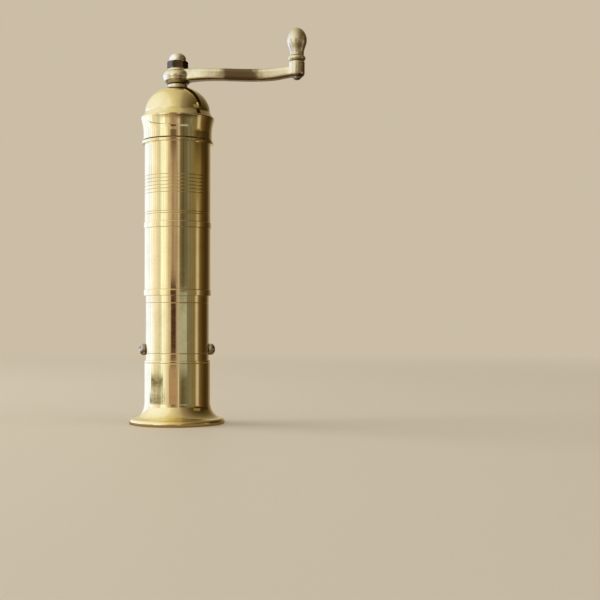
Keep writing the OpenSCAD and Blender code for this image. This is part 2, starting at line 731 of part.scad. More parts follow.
module cap_nut() {
    corner_r = nut_af / sqrt(3);
    dome_base = hub_top + nut_hex_h;
    color(pale_brass) difference() {
        union() {
            intersection() {
                translate([0, 0, hub_top]) cylinder(h = nut_hex_h, r = corner_r, $fn = 6);
                translate([0, 0, hub_top]) rotate_extrude() polygon([[0, 0], [corner_r - 0.5, 0],
                    [corner_r + 0.1, 0.5], [corner_r + 0.1, nut_hex_h - 0.9], [corner_r - 1.3, nut_hex_h],
                    [0, nut_hex_h]]);
            }
            translate([0, 0, dome_base]) rotate_extrude() polygon(concat([[0, -eps], [nut_dome_d / 2, -eps]],
                arc([0, nut_dome_h * 0.2], nut_dome_d / 2, nut_dome_h * 0.8, 0, 90, 10)));
        }
        translate([0, 0, hub_top - eps]) cylinder(h = stud_z + stud_h + 1 - hub_top, r = stud_d / 2 + fixed_gap);
    }
}

module knob_pin() {
    color(steel) translate([crank_r, 0, 0]) rotate_extrude() polygon(concat(
        arc([0, pin_low], pin_head_d / 2, pin_head_h, -90, 0, 6),
        [[pin_d / 2, pin_low], [pin_d / 2, knob_z + pin_in], [0, knob_z + pin_in]]));
}

module pin_washer() {
    color(steel) translate([crank_r, 0, 0])
        ring(arm_boss_d / 2 - 1.9, pin_d / 2 + fixed_gap, pin_low, pin_washer_t);
}

module knob() {
    bead_r = knob_bead_d / 2;
    neck_r = knob_neck_d / 2;
    knob_r = knob_d / 2;
    neck_z = knob_z + knob_bead_h + 1.6;
    belly_z = knob_z + knob_h - knob_crown_h;
    swell = [for (i = [0 : 8]) [neck_r + (knob_r - neck_r) * (1 - cos(22.5 * i)) / 2,
                                neck_z + (belly_z - neck_z) * i / 8]];
    color(pale_brass) translate([crank_r, 0, 0]) difference() {
        rotate_extrude() polygon(concat(
            [[0, knob_z], [bead_r - 1, knob_z]],
            arc([bead_r - 1, knob_z + knob_bead_h / 2], 1, knob_bead_h / 2, -90, 90, 8),
            [[neck_r + 0.25, knob_z + knob_bead_h + 0.3]],
            swell,
            arc([0, belly_z], knob_r, knob_crown_h, 10, 90, 9)));
        translate([0, 0, knob_z - eps]) cylinder(h = pin_in + 0.3, r = pin_d / 2 + fixed_gap);
    }
}

receiver_cup();
receiver_tray();
mechanism_tube();
burr_carrier();
outer_burr();
side_screws();
screw_bar();
bar_screws();
lock_spring();
adjusting_screw();
thrust_ball();
spindle();
inner_burr();
burr_pin();
spring_washer();
burr_spring();
top_bearing();
spindle_bush();
hopper_tube();
lid_collar();
lid_dome();
lid_bush();
crank_arm();
cap_nut();
knob_pin();
pin_washer();
knob();
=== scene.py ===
import math

import bpy
from mathutils import Matrix, Vector


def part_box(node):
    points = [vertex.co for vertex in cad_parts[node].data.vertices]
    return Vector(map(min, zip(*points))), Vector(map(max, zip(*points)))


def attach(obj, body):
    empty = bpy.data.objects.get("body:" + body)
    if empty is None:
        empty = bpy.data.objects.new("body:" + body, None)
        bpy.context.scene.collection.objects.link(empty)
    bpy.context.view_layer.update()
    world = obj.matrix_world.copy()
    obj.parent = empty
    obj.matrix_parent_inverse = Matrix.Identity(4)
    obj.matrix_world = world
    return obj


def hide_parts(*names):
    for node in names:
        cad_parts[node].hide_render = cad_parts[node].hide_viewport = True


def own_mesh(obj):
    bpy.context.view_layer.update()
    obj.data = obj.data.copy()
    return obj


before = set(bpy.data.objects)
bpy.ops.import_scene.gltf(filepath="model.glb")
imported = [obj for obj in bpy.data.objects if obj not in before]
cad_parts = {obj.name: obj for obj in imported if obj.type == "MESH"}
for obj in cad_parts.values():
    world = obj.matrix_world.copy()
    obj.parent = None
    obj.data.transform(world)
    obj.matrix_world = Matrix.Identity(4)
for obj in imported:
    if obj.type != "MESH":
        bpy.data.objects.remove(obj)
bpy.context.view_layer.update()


# ---- Camera -------------------------------------------------------------------------------------
# A long lens at table height, level with the receiver, that looks past the mill's right side.
# The crank therefore points to the right and a little towards the lens.
SCREW_AXIS = math.radians(17)      # the side screws stand square to the line of sight
LENS_PX = 1130                     # focal length in pixels of a picture 600 wide
PICTURE_PX = 600
MILL_LEFT_PX = 122.7               # the mill's axis lies this far left of the picture's middle
HORIZON_LOW_PX = 18                # and the horizon this far under it
LENS_TO_MILL = 0.770               # along the line of sight
LENS_HEIGHT = 0.0716

towards_lens = Vector((math.sin(SCREW_AXIS), -math.cos(SCREW_AXIS), 0))
mill_turn = math.atan(MILL_LEFT_PX / LENS_PX)
sight = Matrix.Rotation(-mill_turn, 3, "Z") @ -towards_lens
sight.z = HORIZON_LOW_PX / LENS_PX
lens_place = towards_lens * LENS_TO_MILL / math.cos(mill_turn)
lens_place.z = LENS_HEIGHT
bpy.ops.object.camera_add(location=lens_place)
camera = bpy.context.object
camera.data.sensor_width = 36
camera.data.lens = LENS_PX / PICTURE_PX * camera.data.sensor_width
camera.rotation_euler = sight.to_track_quat("-Z", "Y").to_euler()
bpy.context.scene.camera = camera
bpy.context.scene.view_settings.view_transform = "Standard"


# ---- Room ---------------------------------------------------------------------------------------
# A beige room with one tall window to the mill's left. Polished brass shows nothing but the room
# around it, so the walls that only the metal sees are light on the window's side and dark opposite.
def linear(value):
    """Turns an sRGB hex colour into the linear one that Blender's nodes take, and leaves other values."""
    if not isinstance(value, str):
        return value
    channels = [int(value[i : i + 2], 16) / 255 for i in (1, 3, 5)]
    return [c / 12.92 if c <= 0.04045 else ((c + 0.055) / 1.055) ** 2.4 for c in channels] + [1]


def feed(tree, node, inputs):
    """Fills a node's inputs. Each is a plain value, a hex colour, an output, or a node, which stands for its
    first output in use."""
    for name, value in inputs.items():
        if isinstance(value, bpy.types.Node):
            value = next(output for output in value.outputs if output.enabled)
        if isinstance(value, bpy.types.NodeSocket):
            tree.links.new(value, node.inputs[name])
        else:
            node.inputs[name].default_value = linear(value)


def add_node(tree, kind, inputs=None, **settings):
    """Adds a node with its settings and inputs."""
    node = tree.nodes.new("ShaderNode" + kind)
    for name, value in settings.items():
        setattr(node, name, value)
    feed(tree, node, inputs or {})
    return node


def fill_ramp(ramp, stops):
    """Puts (position, colour) stops on a Color Ramp node."""
    elements = ramp.color_ramp.elements
    while len(elements) > 1:
        elements.remove(elements[-1])
    for i, (position, colour) in enumerate(stops):
        element = elements.new(position) if i else elements[0]
        element.position = position
        element.color = linear(colour)


def inside(tree, value, low, high, edge):
    """1 where a value lies between low and high, and 0 outside, over a soft edge."""
    starts, ends = [add_node(tree, "MapRange",
                             {"Value": value, "From Min": limit - edge, "From Max": limit + edge},
                             interpolation_type="SMOOTHSTEP") for limit in (low, high)]
    return add_node(tree, "Math", {0: starts, 1: ends}, operation="SUBTRACT", use_clamp=True)


def grey(level):
    return [level, level, level, 1]


BACKDROP = "#CBBDA6"
DAYLIGHT = [1.15, 1.38, 2.2, 1]    # cool and brighter than white
# The walls round the mill, by the angle from the lens, from the left round to the right
WALLS = [
    (-180, "#CDBFA8"),             # the board behind the mill
    (-160, "#E6DECF"),
    (-148, DAYLIGHT),              # the tall window
    (-102, DAYLIGHT),
    (-88, grey(1.1)),
    (-64, grey(0.76)),             # its frame
    (-56, [1.15, 1.32, 1.5, 1]),   # a second, dimmer pane
    (-44, [1.12, 1.25, 1.3, 1]),
    (-36, "#F4EDE8"),              # the wall beside it
    (-24, "#C8B8AA"),
    (-16, "#A69080"),
    (2, "#B8A9A6"),
    (4.5, "#E8E0CC"),              # a sunlit edge
    (7, "#A0958A"),
    (11, "#7A7064"),               # the dark of the room
    (18, "#605842"),
    (40, "#7F7E72"),
    (64, "#857650"),
    (74, "#DCD4CC"),               # a lit door frame
    (84, "#7E6840"),
    (96, "#5A4628"),
    (112, "#403218"),
    (130, "#4E3E28"),
    (150, "#9A8A70"),
    (180, "#CDBFA8"),
]
# The ceiling and the floor are bright on the window's side, which is at -1, and dim on the other, at 1
CEILING = [
    (-1, [1.1, 1.2, 1.6, 1]), (-0.7, [1.05, 1.12, 1.3, 1]), (-0.42, [0.95, 1.0, 0.98, 1]),
    (-0.3, "#EAE8D0"), (-0.06, "#D2CCB4"), (0.1, "#C4BCA6"), (0.26, "#9C927E"),
    (0.42, "#877B68"), (0.6, "#6C6048"), (0.75, "#564C34"), (0.95, "#302A16"),
]
FLOOR = [(-1, "#C4B494"), (-0.4, "#A89878"), (0.1, "#5E4E36"), (0.6, "#3C3020"), (1, "#3A2C1C")]
CEILING_FROM = (11.5, 16)          # heights in degrees over which the walls pass into the ceiling
FLOOR_FROM = (-24, -12)
# Things in that room: angles from and to and their softness, then heights over the table in the same way,
# all in degrees, and the colour
FURNITURE = [
    (-23, -5, 2.5, -2.3, 1.9, 0.5, "#503830"),                  # a dark curtain
    (-28, 0, 1.5, -4.8, -2.3, 0.15, "#B49A8A"),                 # a clay pot under it
    (2, 35, 2, -2.6, 1.2, 0.6, "#B6BCBA"),                      # pale glassware beside it
    (-103, -49, 3, -3.5, -2.85, 0.12, "#767050"),               # a bench in front of the window, its seat
    (-109, -42, 2, -4.3, -3.85, 0.08, "#64624C"),               # and its foot rail
    (-24, -4, 4, 8.5, 12.5, 1.2, "#5A4430"),                    # the dark rail that the curtain hangs from
    (60, 88, 4, 5.4, 30, 1.5, "#8E7C50"),                       # the door frame's unlit top
    (60, 125, 10, 8.4, 16, 1.6, "#3A2C14"),                     # a dark beam across the far corner
]
CLUTTER = (2.3, 30)                # width and height in degrees of the many small things along the walls
CLUTTER_DEPTH = (0.66, 1.3)        # and how much darker and lighter than the walls they are
UNEVEN = (3.0, 0.125)              # how far, in degrees, all outlines wander sideways and upwards
world = bpy.data.worlds.new("room")
world.use_nodes = True
bpy.context.scene.world = world
tree = world.node_tree
tree.nodes.clear()
# The direction's azimuth, turned so that 0 is the lens
direction = add_node(tree, "TexCoord").outputs["Generated"]
turned = add_node(tree, "VectorRotate", {"Vector": direction, "Angle": math.pi / 2 - SCREW_AXIS},
                  rotation_type="Z_AXIS")
axes = add_node(tree, "SeparateXYZ", {"Vector": turned})
azimuth = add_node(tree, "Math", {0: axes.outputs["Y"], 1: axes.outputs["X"]}, operation="ARCTAN2")
around = add_node(tree, "MapRange", {"Value": azimuth, "From Min": -math.pi, "From Max": math.pi})
walls = add_node(tree, "ValToRGB", {"Fac": around})
fill_ramp(walls, [((angle + 180) / 360, colour) for angle, colour in WALLS])
side = add_node(tree, "MapRange", {"Value": axes.outputs["Y"], "From Min": -1, "From Max": 1})
# Angle and height in degrees. The noise that makes them wander is 0.5 on average, so it adds UNEVEN
# to both, and the furniture's limits are raised by as much.
wander = add_node(tree, "TexNoise", {"Vector": direction, "Scale": 14, "Detail": 2})
shift = add_node(tree, "SeparateXYZ", {"Vector": wander.outputs["Color"]})
angle = add_node(tree, "Math", {0: azimuth, 1: 180 / math.pi}, operation="MULTIPLY")
angle = add_node(tree, "Math", {0: shift.outputs["X"], 1: 2 * UNEVEN[0], 2: angle}, operation="MULTIPLY_ADD")
height = add_node(tree, "Math", {0: axes.outputs["Z"]}, operation="ARCSINE")
height = add_node(tree, "Math", {0: height, 1: 180 / math.pi}, operation="MULTIPLY")
height = add_node(tree, "Math", {0: shift.outputs["Y"], 1: 2 * UNEVEN[1], 2: height},
                  operation="MULTIPLY_ADD")
across = {axis: add_node(tree, "Math", {0: value, 1: 1 / period}, operation="MULTIPLY")
          for axis, value, period in (("X", angle, CLUTTER[0]), ("Y", height, CLUTTER[1]))}
across = add_node(tree, "CombineXYZ", across)
clutter = add_node(tree, "TexNoise", {"Vector": across, "Scale": 1.0, "Detail": 3, "Roughness": 0.65})
clutter = add_node(tree, "MapRange", {"Value": clutter, "From Min": 0.3, "From Max": 0.7,
                                      "To Min": CLUTTER_DEPTH[0], "To Max": CLUTTER_DEPTH[1]})
scenery = add_node(tree, "VectorMath", {0: walls, "Scale": clutter}, operation="SCALE")
for colours, near, far in ((CEILING, *CEILING_FROM), (FLOOR, *reversed(FLOOR_FROM))):
    plane = add_node(tree, "ValToRGB", {"Fac": side})
    fill_ramp(plane, [((stop + 1) / 2, colour) for stop, colour in colours])
    share = add_node(tree, "MapRange", {"Value": height, "From Min": near, "From Max": far},
                     interpolation_type="SMOOTHSTEP")
    scenery = add_node(tree, "Mix", {"Factor": share, "A": scenery, "B": plane}, data_type="RGBA")
for low, high, soft, bottom, top, soft_height, colour in FURNITURE:
    width = inside(tree, angle, low + UNEVEN[0], high + UNEVEN[0], soft)
    reach = inside(tree, height, bottom + UNEVEN[1], top + UNEVEN[1], soft_height)
    mask = add_node(tree, "Math", {0: width, 1: reach}, operation="MULTIPLY")
    scenery = add_node(tree, "Mix", {"Factor": mask, "A": scenery, "B": colour}, data_type="RGBA")
seen_by_metal = add_node(tree, "Background", {"Color": scenery})
plain_light = add_node(tree, "Background", {"Color": "#F4F0E8", "Strength": 0.55})
backdrop = add_node(tree, "Background", {"Color": BACKDROP})
rays = add_node(tree, "LightPath")
sight_of = plain_light
for ray, sight_by_ray in (("Is Glossy Ray", seen_by_metal), ("Is Camera Ray", backdrop)):
    sight_of = add_node(tree, "MixShader", {"Fac": rays.outputs[ray], 1: sight_of, 2: sight_by_ray})
add_node(tree, "OutputWorld", {"Surface": sight_of})

# The floor runs out into the backdrop's colour, so that no edge shows behind the mill
FLOOR_RADIUS = 3.0
FLOOR_FADES = (0.35, 1.6)          # plain floor up to here, and only the backdrop's colour from there
TRAY_ENDS = (0.104, 0.13)          # the metal sees the room past this, as if the mill stood on a tray
bpy.ops.mesh.primitive_circle_add(vertices=96, radius=FLOOR_RADIUS, fill_type="NGON")
floor = bpy.context.object
floor.name = "floor"
# Matt paint on a board: even and without a shine. The metal sees it as the tray's brown wood instead.
paint = bpy.data.materials.new("matt_painted_board")
paint.use_nodes = True
tree = paint.node_tree
shader = tree.nodes["Principled BSDF"]
shader.inputs["Roughness"].default_value = 0.6
rays = add_node(tree, "LightPath")
board = add_node(tree, "Mix", {"Factor": rays.outputs["Is Glossy Ray"], "A": "#E3D6C0", "B": "#A08456"},
                 data_type="RGBA")
feed(tree, shader, {"Base Color": board})
surface = shader
colour_beyond = add_node(tree, "Emission", {"Color": BACKDROP})
clear_beyond = add_node(tree, "BsdfTransparent")
place = add_node(tree, "TexCoord").outputs["Object"]
distance = add_node(tree, "VectorMath", {0: place}, operation="LENGTH")
for ray, (near, far), beyond in (("Is Camera Ray", FLOOR_FADES, colour_beyond),
                                 ("Is Glossy Ray", TRAY_ENDS, clear_beyond)):
    gone = add_node(tree, "MapRange", {"Value": distance, "From Min": near, "From Max": far},
                    interpolation_type="SMOOTHSTEP")
    gone = add_node(tree, "Math", {0: gone, 1: rays.outputs[ray]}, operation="MULTIPLY")
    surface = add_node(tree, "MixShader", {"Fac": gone, 1: surface, 2: beyond})
feed(tree, tree.nodes["Material Output"], {"Surface": surface})
floor.data.materials.append(paint)

# One large soft lamp on the window's side and a weaker one opposite. The metal sees the window itself.
LAMP_AWAY = 1.5
LAMP_AIM = Vector((0, 0, 0.1))
for name, bearing, lamp_height, size, watts in (("window_lamp", -105, 1.1, 1.3, 14),
                                                ("room_lamp", 60, 1.4, 1.6, 6)):
    away = Matrix.Rotation(math.radians(bearing), 3, "Z") @ towards_lens * LAMP_AWAY
    bpy.ops.object.light_add(type="AREA", location=(away.x, away.y, lamp_height))
    lamp = bpy.context.object
    lamp.name = name
    lamp.rotation_euler = (LAMP_AIM - lamp.location).to_track_quat("-Z", "Y").to_euler()
    lamp.data.size = size
    lamp.data.energy = watts
    lamp.visible_glossy = False


# ---- Receiver -----------------------------------------------------------------------------------
# Spun from brass sheet over a former in one piece: the straight cup, the flare and the brim that
# it stands on. The brim's edge is rolled, and a line is turned under the rim.
MM = 0.001
POLE = 0.005                       # smallest ring of a turned outline in mm, which closes to a point
SMOOTH = math.radians(38)          # faces that meet at less than this are shaded as one


def box_mm(node):
    """The lowest and the highest corner of a CAD node, in mm."""
    return [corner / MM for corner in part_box(node)]


def soften(outline, steps=5):
    """Rounds the corners of an outline of (radius, height, rounding) points in mm."""
    smooth = []
    for i, (r, z, rounding) in enumerate(outline):
        here = Vector((r, z))
        if not rounding:
            smooth.append(here)
            continue
        before, after = Vector(outline[i - 1][:2]), Vector(outline[(i + 1) % len(outline)][:2])
        start, end = [here + (there - here).normalized() * min(rounding, (there - here).length / 2)
                      for there in (before, after)]
        for step in range(steps + 1):
            t = step / steps
            smooth.append(start * (1 - t) ** 2 + here * 2 * t * (1 - t) + end * t ** 2)
    return smooth


def arc(centre, radii, start, end, steps=12):
    """Points of an elliptical arc, as (radius, height, rounding) in mm."""
    angles = [math.radians(start + (end - start) * i / steps) for i in range(steps + 1)]
    return [(centre[0] + radii[0] * math.cos(a), centre[1] + radii[1] * math.sin(a), 0) for a in angles]


def turn(name, outline, centre=(0, 0), around=192):
    """Turns an outline of (radius, height) points in mm about an upright axis through centre, in metres."""
    bpy.ops.object.select_all(action="DESELECT")
    points = [(max(r, POLE) * MM, z * MM) for r, z in outline]
    bpy.ops.mesh.primitive_circle_add(vertices=around, radius=points[0][0], location=(*centre, points[0][1]))
    piece = bpy.context.object
    piece.name = name
    bpy.ops.object.transform_apply(location=True, rotation=True, scale=True)
    bpy.ops.object.mode_set(mode="EDIT")
    for (r0, z0), (r1, z1) in zip(points, points[1:]):
        bpy.ops.mesh.extrude_region_move(TRANSFORM_OT_translate={"value": (0, 0, z1 - z0)})
        bpy.ops.transform.resize(value=(r1 / r0, r1 / r0, 1), center_override=(*centre, z1))
    bpy.ops.mesh.select_all(action="SELECT")
    bpy.ops.mesh.remove_doubles(threshold=2.2 * POLE * MM)
    bpy.ops.mesh.normals_make_consistent(inside=False)
    bpy.ops.object.mode_set(mode="OBJECT")
    bpy.ops.object.shade_smooth_by_angle(angle=SMOOTH)
    return piece


def ring_outline(outline):
    """Closes the outline of a hollow piece on its first point."""
    smooth = soften(outline)
    return smooth + smooth[:1]


def finish_piece(piece, material, body, slot, *nodes):
    """Gives a piece its material and its body, and hides the CAD nodes that it stands for. slot is not used.
    """
    piece.data.materials.clear()
    piece.data.materials.append(material)
    # Large faces set the shading, so that a flat stays flat right up to a small edge
    bpy.context.view_layer.objects.active = piece
    weighted = piece.modifiers.new("weighted", "WEIGHTED_NORMAL")
    weighted.keep_sharp = True
    bpy.ops.object.modifier_apply(modifier=weighted.name)
    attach(piece, body)
    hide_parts(*nodes)


def polished_metal(name, colour, stain, shine, lines_mm=0.0, line_depth=0.0, ripple=0.0, grain=0.0, marks=0.5,
                   underside_tarnish_and_shade=None, dark_reflection_patch=None):
    """A polished or cast metal. colour is the clean metal and stain its tarnish, which marks gives the share
    of. shine is the roughness where it is clean and where it is stained. lines_mm is the pitch of the marks
    that turning leaves and line_depth their depth. ripple is the depth of the slow waves that spinning leaves
    and grain that of a cast skin, all in mm. raw darkens faces that look down, as tarnish where they are
    never polished and as painted shade under the piece: how steep a face is where the darkening starts and
    where it takes over, and its share there. patch is where along X in mm a painted dark reflection covers
    the metal, from and to, and its share."""
    material = bpy.data.materials.new(name)
    material.use_nodes = True
    tree = material.node_tree
    shader = tree.nodes["Principled BSDF"]
    shader.inputs["Metallic"].default_value = 1.0
    place = add_node(tree, "TexCoord").outputs["Object"]
    # Tarnish gathers in soft patches about 12 mm wide, broken up by finer ones
    patches = add_node(tree, "TexNoise", {"Vector": place, "Scale": 1 / 0.012, "Detail": 6, "Roughness": 0.62,
                                          "Distortion": 0.4})
    stained = add_node(tree, "MapRange",
                       {"Value": patches, "From Min": 0.46, "From Max": 0.78, "To Max": marks})
    # Age spots under 1 mm wide, and grime that stays in the corners and lines where no cloth reaches
    spots = add_node(tree, "TexNoise", {"Vector": place, "Scale": 1 / 0.0011, "Detail": 1})
    spotted = add_node(tree, "MapRange",
                       {"Value": spots, "From Min": 0.7, "From Max": 0.78, "To Max": marks * 1.5})
    corner = add_node(tree, "NewGeometry").outputs["Pointiness"]
    grimy = add_node(tree, "MapRange", {"Value": corner, "From Min": 0.485, "From Max": 0.44})
    for mark in (spotted, grimy):
        stained = add_node(tree, "Math", {0: stained, 1: mark}, operation="MAXIMUM")
    # and edges are rubbed bright
    rubbed = add_node(tree, "MapRange",
                      {"Value": corner, "From Min": 0.53, "From Max": 0.6, "To Min": 1.0, "To Max": 0.2})
    stained = add_node(tree, "Math", {0: stained, 1: rubbed}, operation="MULTIPLY")
    # Faces that look down get the stain: tarnish where nobody polishes them, and painted shade under the
    # piece
    if underside_tarnish_and_shade:
        facing = add_node(tree, "TexCoord").outputs["Normal"]
        facing = add_node(tree, "SeparateXYZ", {"Vector": facing}).outputs["Z"]
        underside_tarnish_and_shade_share = add_node(tree, "MapRange",
                              {"Value": facing, "From Min": underside_tarnish_and_shade[0], "From Max": underside_tarnish_and_shade[1], "To Max": underside_tarnish_and_shade[2]})
        stained = add_node(tree, "Math", {0: stained, 1: underside_tarnish_and_shade_share}, operation="MAXIMUM")
    if dark_reflection_patch:
        # A painted dark reflection across the piece: its ends are ragged by 8 mm to either side and fade over
        # 3 mm
        along = add_node(tree, "SeparateXYZ", {"Vector": place}).outputs["X"]
        ragged = add_node(tree, "Math", {0: patches, 1: 0.016, 2: along}, operation="MULTIPLY_ADD")
        worn = inside(tree, ragged, dark_reflection_patch[0] * MM + 0.008, dark_reflection_patch[1] * MM + 0.008, 0.003)
        worn = add_node(tree, "Math", {0: worn, 1: dark_reflection_patch[2]}, operation="MULTIPLY")
        stained = add_node(tree, "Math", {0: stained, 1: worn}, operation="MAXIMUM")
    tint = add_node(tree, "Mix", {"Factor": stained, "A": colour, "B": stain}, data_type="RGBA")
    # Finger marks and polishing haze, 3 to 4 mm wide, dull the shine a little
    haze = add_node(tree, "TexNoise", {"Vector": place, "Scale": 1 / 0.0035, "Detail": 8, "Roughness": 0.7})
    hazy = add_node(tree, "MapRange", {"Value": haze, "From Min": 0.35, "From Max": 0.75})
    dull = add_node(tree, "Math", {0: hazy, 1: stained}, operation="MAXIMUM")
    rough = add_node(tree, "MapRange", {"Value": dull, "To Min": shine[0], "To Max": shine[1]})
    reliefs = []
    if ripple:
        waves = add_node(tree, "TexNoise", {"Vector": place, "Scale": 1 / 0.016, "Detail": 1.5})
        reliefs.append((waves, ripple))
    if lines_mm:
        # Turning marks: bands whose height changes along the axis only, of a random strength
        stretch = add_node(tree, "Mapping", {"Vector": place, "Scale": (4, 4, 1 / (lines_mm * MM))})
        lines = add_node(tree, "TexNoise", {"Vector": stretch, "Scale": 1.0, "Detail": 3, "Roughness": 0.7})
        reliefs.append((lines, line_depth))
    if grain:
        # A casting's skin, with pits and swells about 2 mm wide
        skin = add_node(tree, "TexNoise",
                        {"Vector": place, "Scale": 1 / 0.0018, "Detail": 6, "Roughness": 0.6})
        reliefs.append((skin, grain))
    normal = {}
    for relief, depth in reliefs:
        bump = add_node(tree, "Bump", {"Height": relief, "Distance": depth * MM, "Strength": 1.0, **normal})
        normal = {"Normal": bump}
    feed(tree, shader, {"Base Color": tint, "Roughness": rough, **normal})
    return material


# Yellow brass, spun and polished: it mirrors the room in long upright stripes, which the slow waves of
# the spinning bend a little, and fine marks from the lathe run round it
spun_brass = polished_metal("spun_yellow_brass", "#F2DFA6", "#D2A866", (0.02, 0.1), lines_mm=0.35,
                            line_depth=0.0015, ripple=0.012, marks=0.3)

cup_high = box_mm("receiver_cup")[1]
foot_r = cup_high.x
rim_z = cup_high.z
tube_r = 22.4                      # outside of the straight wall
sheet = 0.8                        # thickness of the brass sheet
brim_h = 3.2                       # height of the rolled brim
brim_in = 2.2                      # width of the ring under it that touches the table
flare_out = foot_r - 1.0           # the flare ends in the brim here
flare_z = 14.5                     # and in the straight wall here
flare_r = flare_out - tube_r
flare_h = flare_z - brim_h - 0.6
line_z = rim_z - 1.6               # the turned line under the rim, its depth and half its width
line_d = 0.22
line_w = 0.3
receiver = turn("receiver_shell", ring_outline(
    [(foot_r - brim_in, 0, 0.15), (foot_r - 0.3, 0, 0.25), (foot_r, 0.9, 0.7), (foot_r, brim_h - 0.9, 0.8),
     (foot_r - 0.5, brim_h, 0.6)]
    + arc((flare_out, flare_z), (flare_r, flare_h), 268, 180, 24)
    + [(tube_r, line_z - line_w, 0.1), (tube_r - line_d, line_z, 0.12), (tube_r, line_z + line_w, 0.1),
       (tube_r, rim_z, 0.3), (tube_r - sheet, rim_z, 0.25)]
    + arc((flare_out, flare_z), (flare_r + sheet, flare_h + sheet + 0.3), 180, 250, 20)
    + [(foot_r - brim_in, 2 * sheet, 0.4)]))
finish_piece(receiver, spun_brass, "receiver", "brass", "receiver_cup")


# ---- Mechanism tube -----------------------------------------------------------------------------
# A drawn brass tube that slides into the receiver and carries the whole grinding mechanism. It shows
# as the slightly narrower band between the receiver and the hopper.

# Yellow brass, drawn and polished: as bright as the spun brass, with a little more brown tarnish
drawn_brass = polished_metal("drawn_yellow_brass", "#F0DDA6", "#C89C5C", (0.025, 0.12), lines_mm=0.5,
                             line_depth=0.0015, ripple=0.014, marks=0.35)
mech_low, mech_high = box_mm("mechanism_tube")
mech_r = mech_high.x
line_in = 4.8                      # from the ends of the bare part to its two turned lines
hopper_z = 86.6                    # the hopper's lower edge


def turned_line(r, z, depth=0.2, half_w=0.24):
    """A fine line cut into a wall of radius r, from below. The rings beside it keep its shading narrow."""
    return [(r, z - half_w - 0.25, 0), (r, z - half_w, 0.04), (r - depth, z, 0.06), (r, z + half_w, 0.04),
            (r, z + half_w + 0.25, 0)]


mech_bore = mech_r - sheet
mechanism = turn("mechanism_tube_shell", ring_outline(
    [(mech_r, mech_low.z, 0.3)] + turned_line(mech_r, rim_z + line_in)
    + turned_line(mech_r, hopper_z - line_in)
    + [(mech_r, mech_high.z, 0.2), (mech_bore, mech_high.z, 0.2), (mech_bore, mech_low.z, 0.2)]))
finish_piece(mechanism, drawn_brass, "mill_body", "brass", "mechanism_tube")


# ---- Hopper tube --------------------------------------------------------------------------------
# A turned brass tube. Flat rings are left standing at its lower edge and half-way up, a pair of fine
# lines is cut above the middle ring, and six more lines decorate it under the lid.
hopper_low, hopper_high = box_mm("hopper_tube")
hopper_r = 22.45
hopper_bore = 21.2
band_out = 0.45                    # how far the flat rings stand out
band_h = 4.1
band_round = 0.35
middle_band = 134.3                # the middle of the upper ring
pair_z = (141.45, 142.95)
lines_z = [155.5 + 2.38 * i for i in range(6)]
socket_r = mech_r + 0.03           # the mechanism tube is soldered in up to here
socket_z = mech_high.z + 2


def flat_ring(r, z):
    """A flat ring on a wall of radius r, from its lower edge at z, with a fine cut on either side of it."""
    out, cut_r, top = r + band_out, r - 0.08, z + band_h
    return [(r, z - 0.3, 0.1), (cut_r, z - 0.02, 0.05), (out, z, band_round), (out, top, band_round),
            (cut_r, top + 0.02, 0.05), (r, top + 0.3, 0.1)]


outline = [(socket_r, hopper_low.z, 0.1)] + flat_ring(hopper_r, hopper_low.z)[2:]
outline += flat_ring(hopper_r, middle_band - band_h / 2)
for z in (*pair_z, *lines_z):
    outline += turned_line(hopper_r, z)
outline += [(hopper_r, hopper_high.z, 0.3), (hopper_bore, hopper_high.z, 0.2), (hopper_bore, socket_z, 0.1),
            (socket_r, socket_z, 0)]
hopper = turn("hopper_shell", ring_outline(outline))
finish_piece(hopper, spun_brass, "mill_body", "brass", "hopper_tube")


# ---- Side screws --------------------------------------------------------------------------------
# Two round-headed brass screws, nickelled once and now dull, that hold the burr carrier in the tube.
# Worn nickel plate is a warm grey, with brown where it has gone.
worn_nickel = polished_metal("worn_nickel_plate", "#BDB49C", "#4E402A", (0.1, 0.26), marks=0.6)
screw_z = 50.3                     # their height over the table
head_r = 3.9
head_out = 4.3                     # how far the heads stand out
slot_w = 1.0
slot_d = 1.35
slot_turn = math.radians(35)       # the slots lie at this slant
shank_r = 2.0
shank_end = 18.2                   # from the mill's axis
head_low = mech_r - 0.05
head_top = head_low + head_out


def cut(piece, cutter, operation="DIFFERENCE"):
    """Applies a boolean with a second piece, which is then removed."""
    bpy.ops.object.select_all(action="DESELECT")
    bpy.context.view_layer.objects.active = piece
    boolean = piece.modifiers.new("cut", "BOOLEAN")
    boolean.object = cutter
    boolean.operation = operation
    bpy.ops.object.modifier_apply(modifier=boolean.name)
    bpy.data.objects.remove(cutter)


for name, bearing in (("side_screw_right", SCREW_AXIS), ("side_screw_left", SCREW_AXIS + math.pi)):
    # Turned upright and slotted, then laid over and swung to its place
    screw = turn(name, soften(
        [(0, shank_end, 0), (shank_r, shank_end, 0.3), (shank_r, head_low, 0), (head_r, head_low, 0.2)]
        + arc((0, head_low + head_out * 0.3), (head_r, head_out * 0.7), 0, 88, 14)
        + [(0, head_top, 0)]), around=64)
    bpy.ops.mesh.primitive_cube_add(size=1, location=(0, 0, head_top * MM))
    slot = bpy.context.object
    slot.scale = (slot_w * MM, 3 * head_r * MM, 2 * slot_d * MM)
    cut(screw, slot)
    screw.data.transform(Matrix.Translation((0, 0, screw_z * MM)) @ Matrix.Rotation(bearing, 4, "Z")
                         @ Matrix.Rotation(math.pi / 2, 4, "Y") @ Matrix.Rotation(slot_turn, 4, "Z"))
    finish_piece(screw, worn_nickel, "mill_body", "steel", "side_screws")


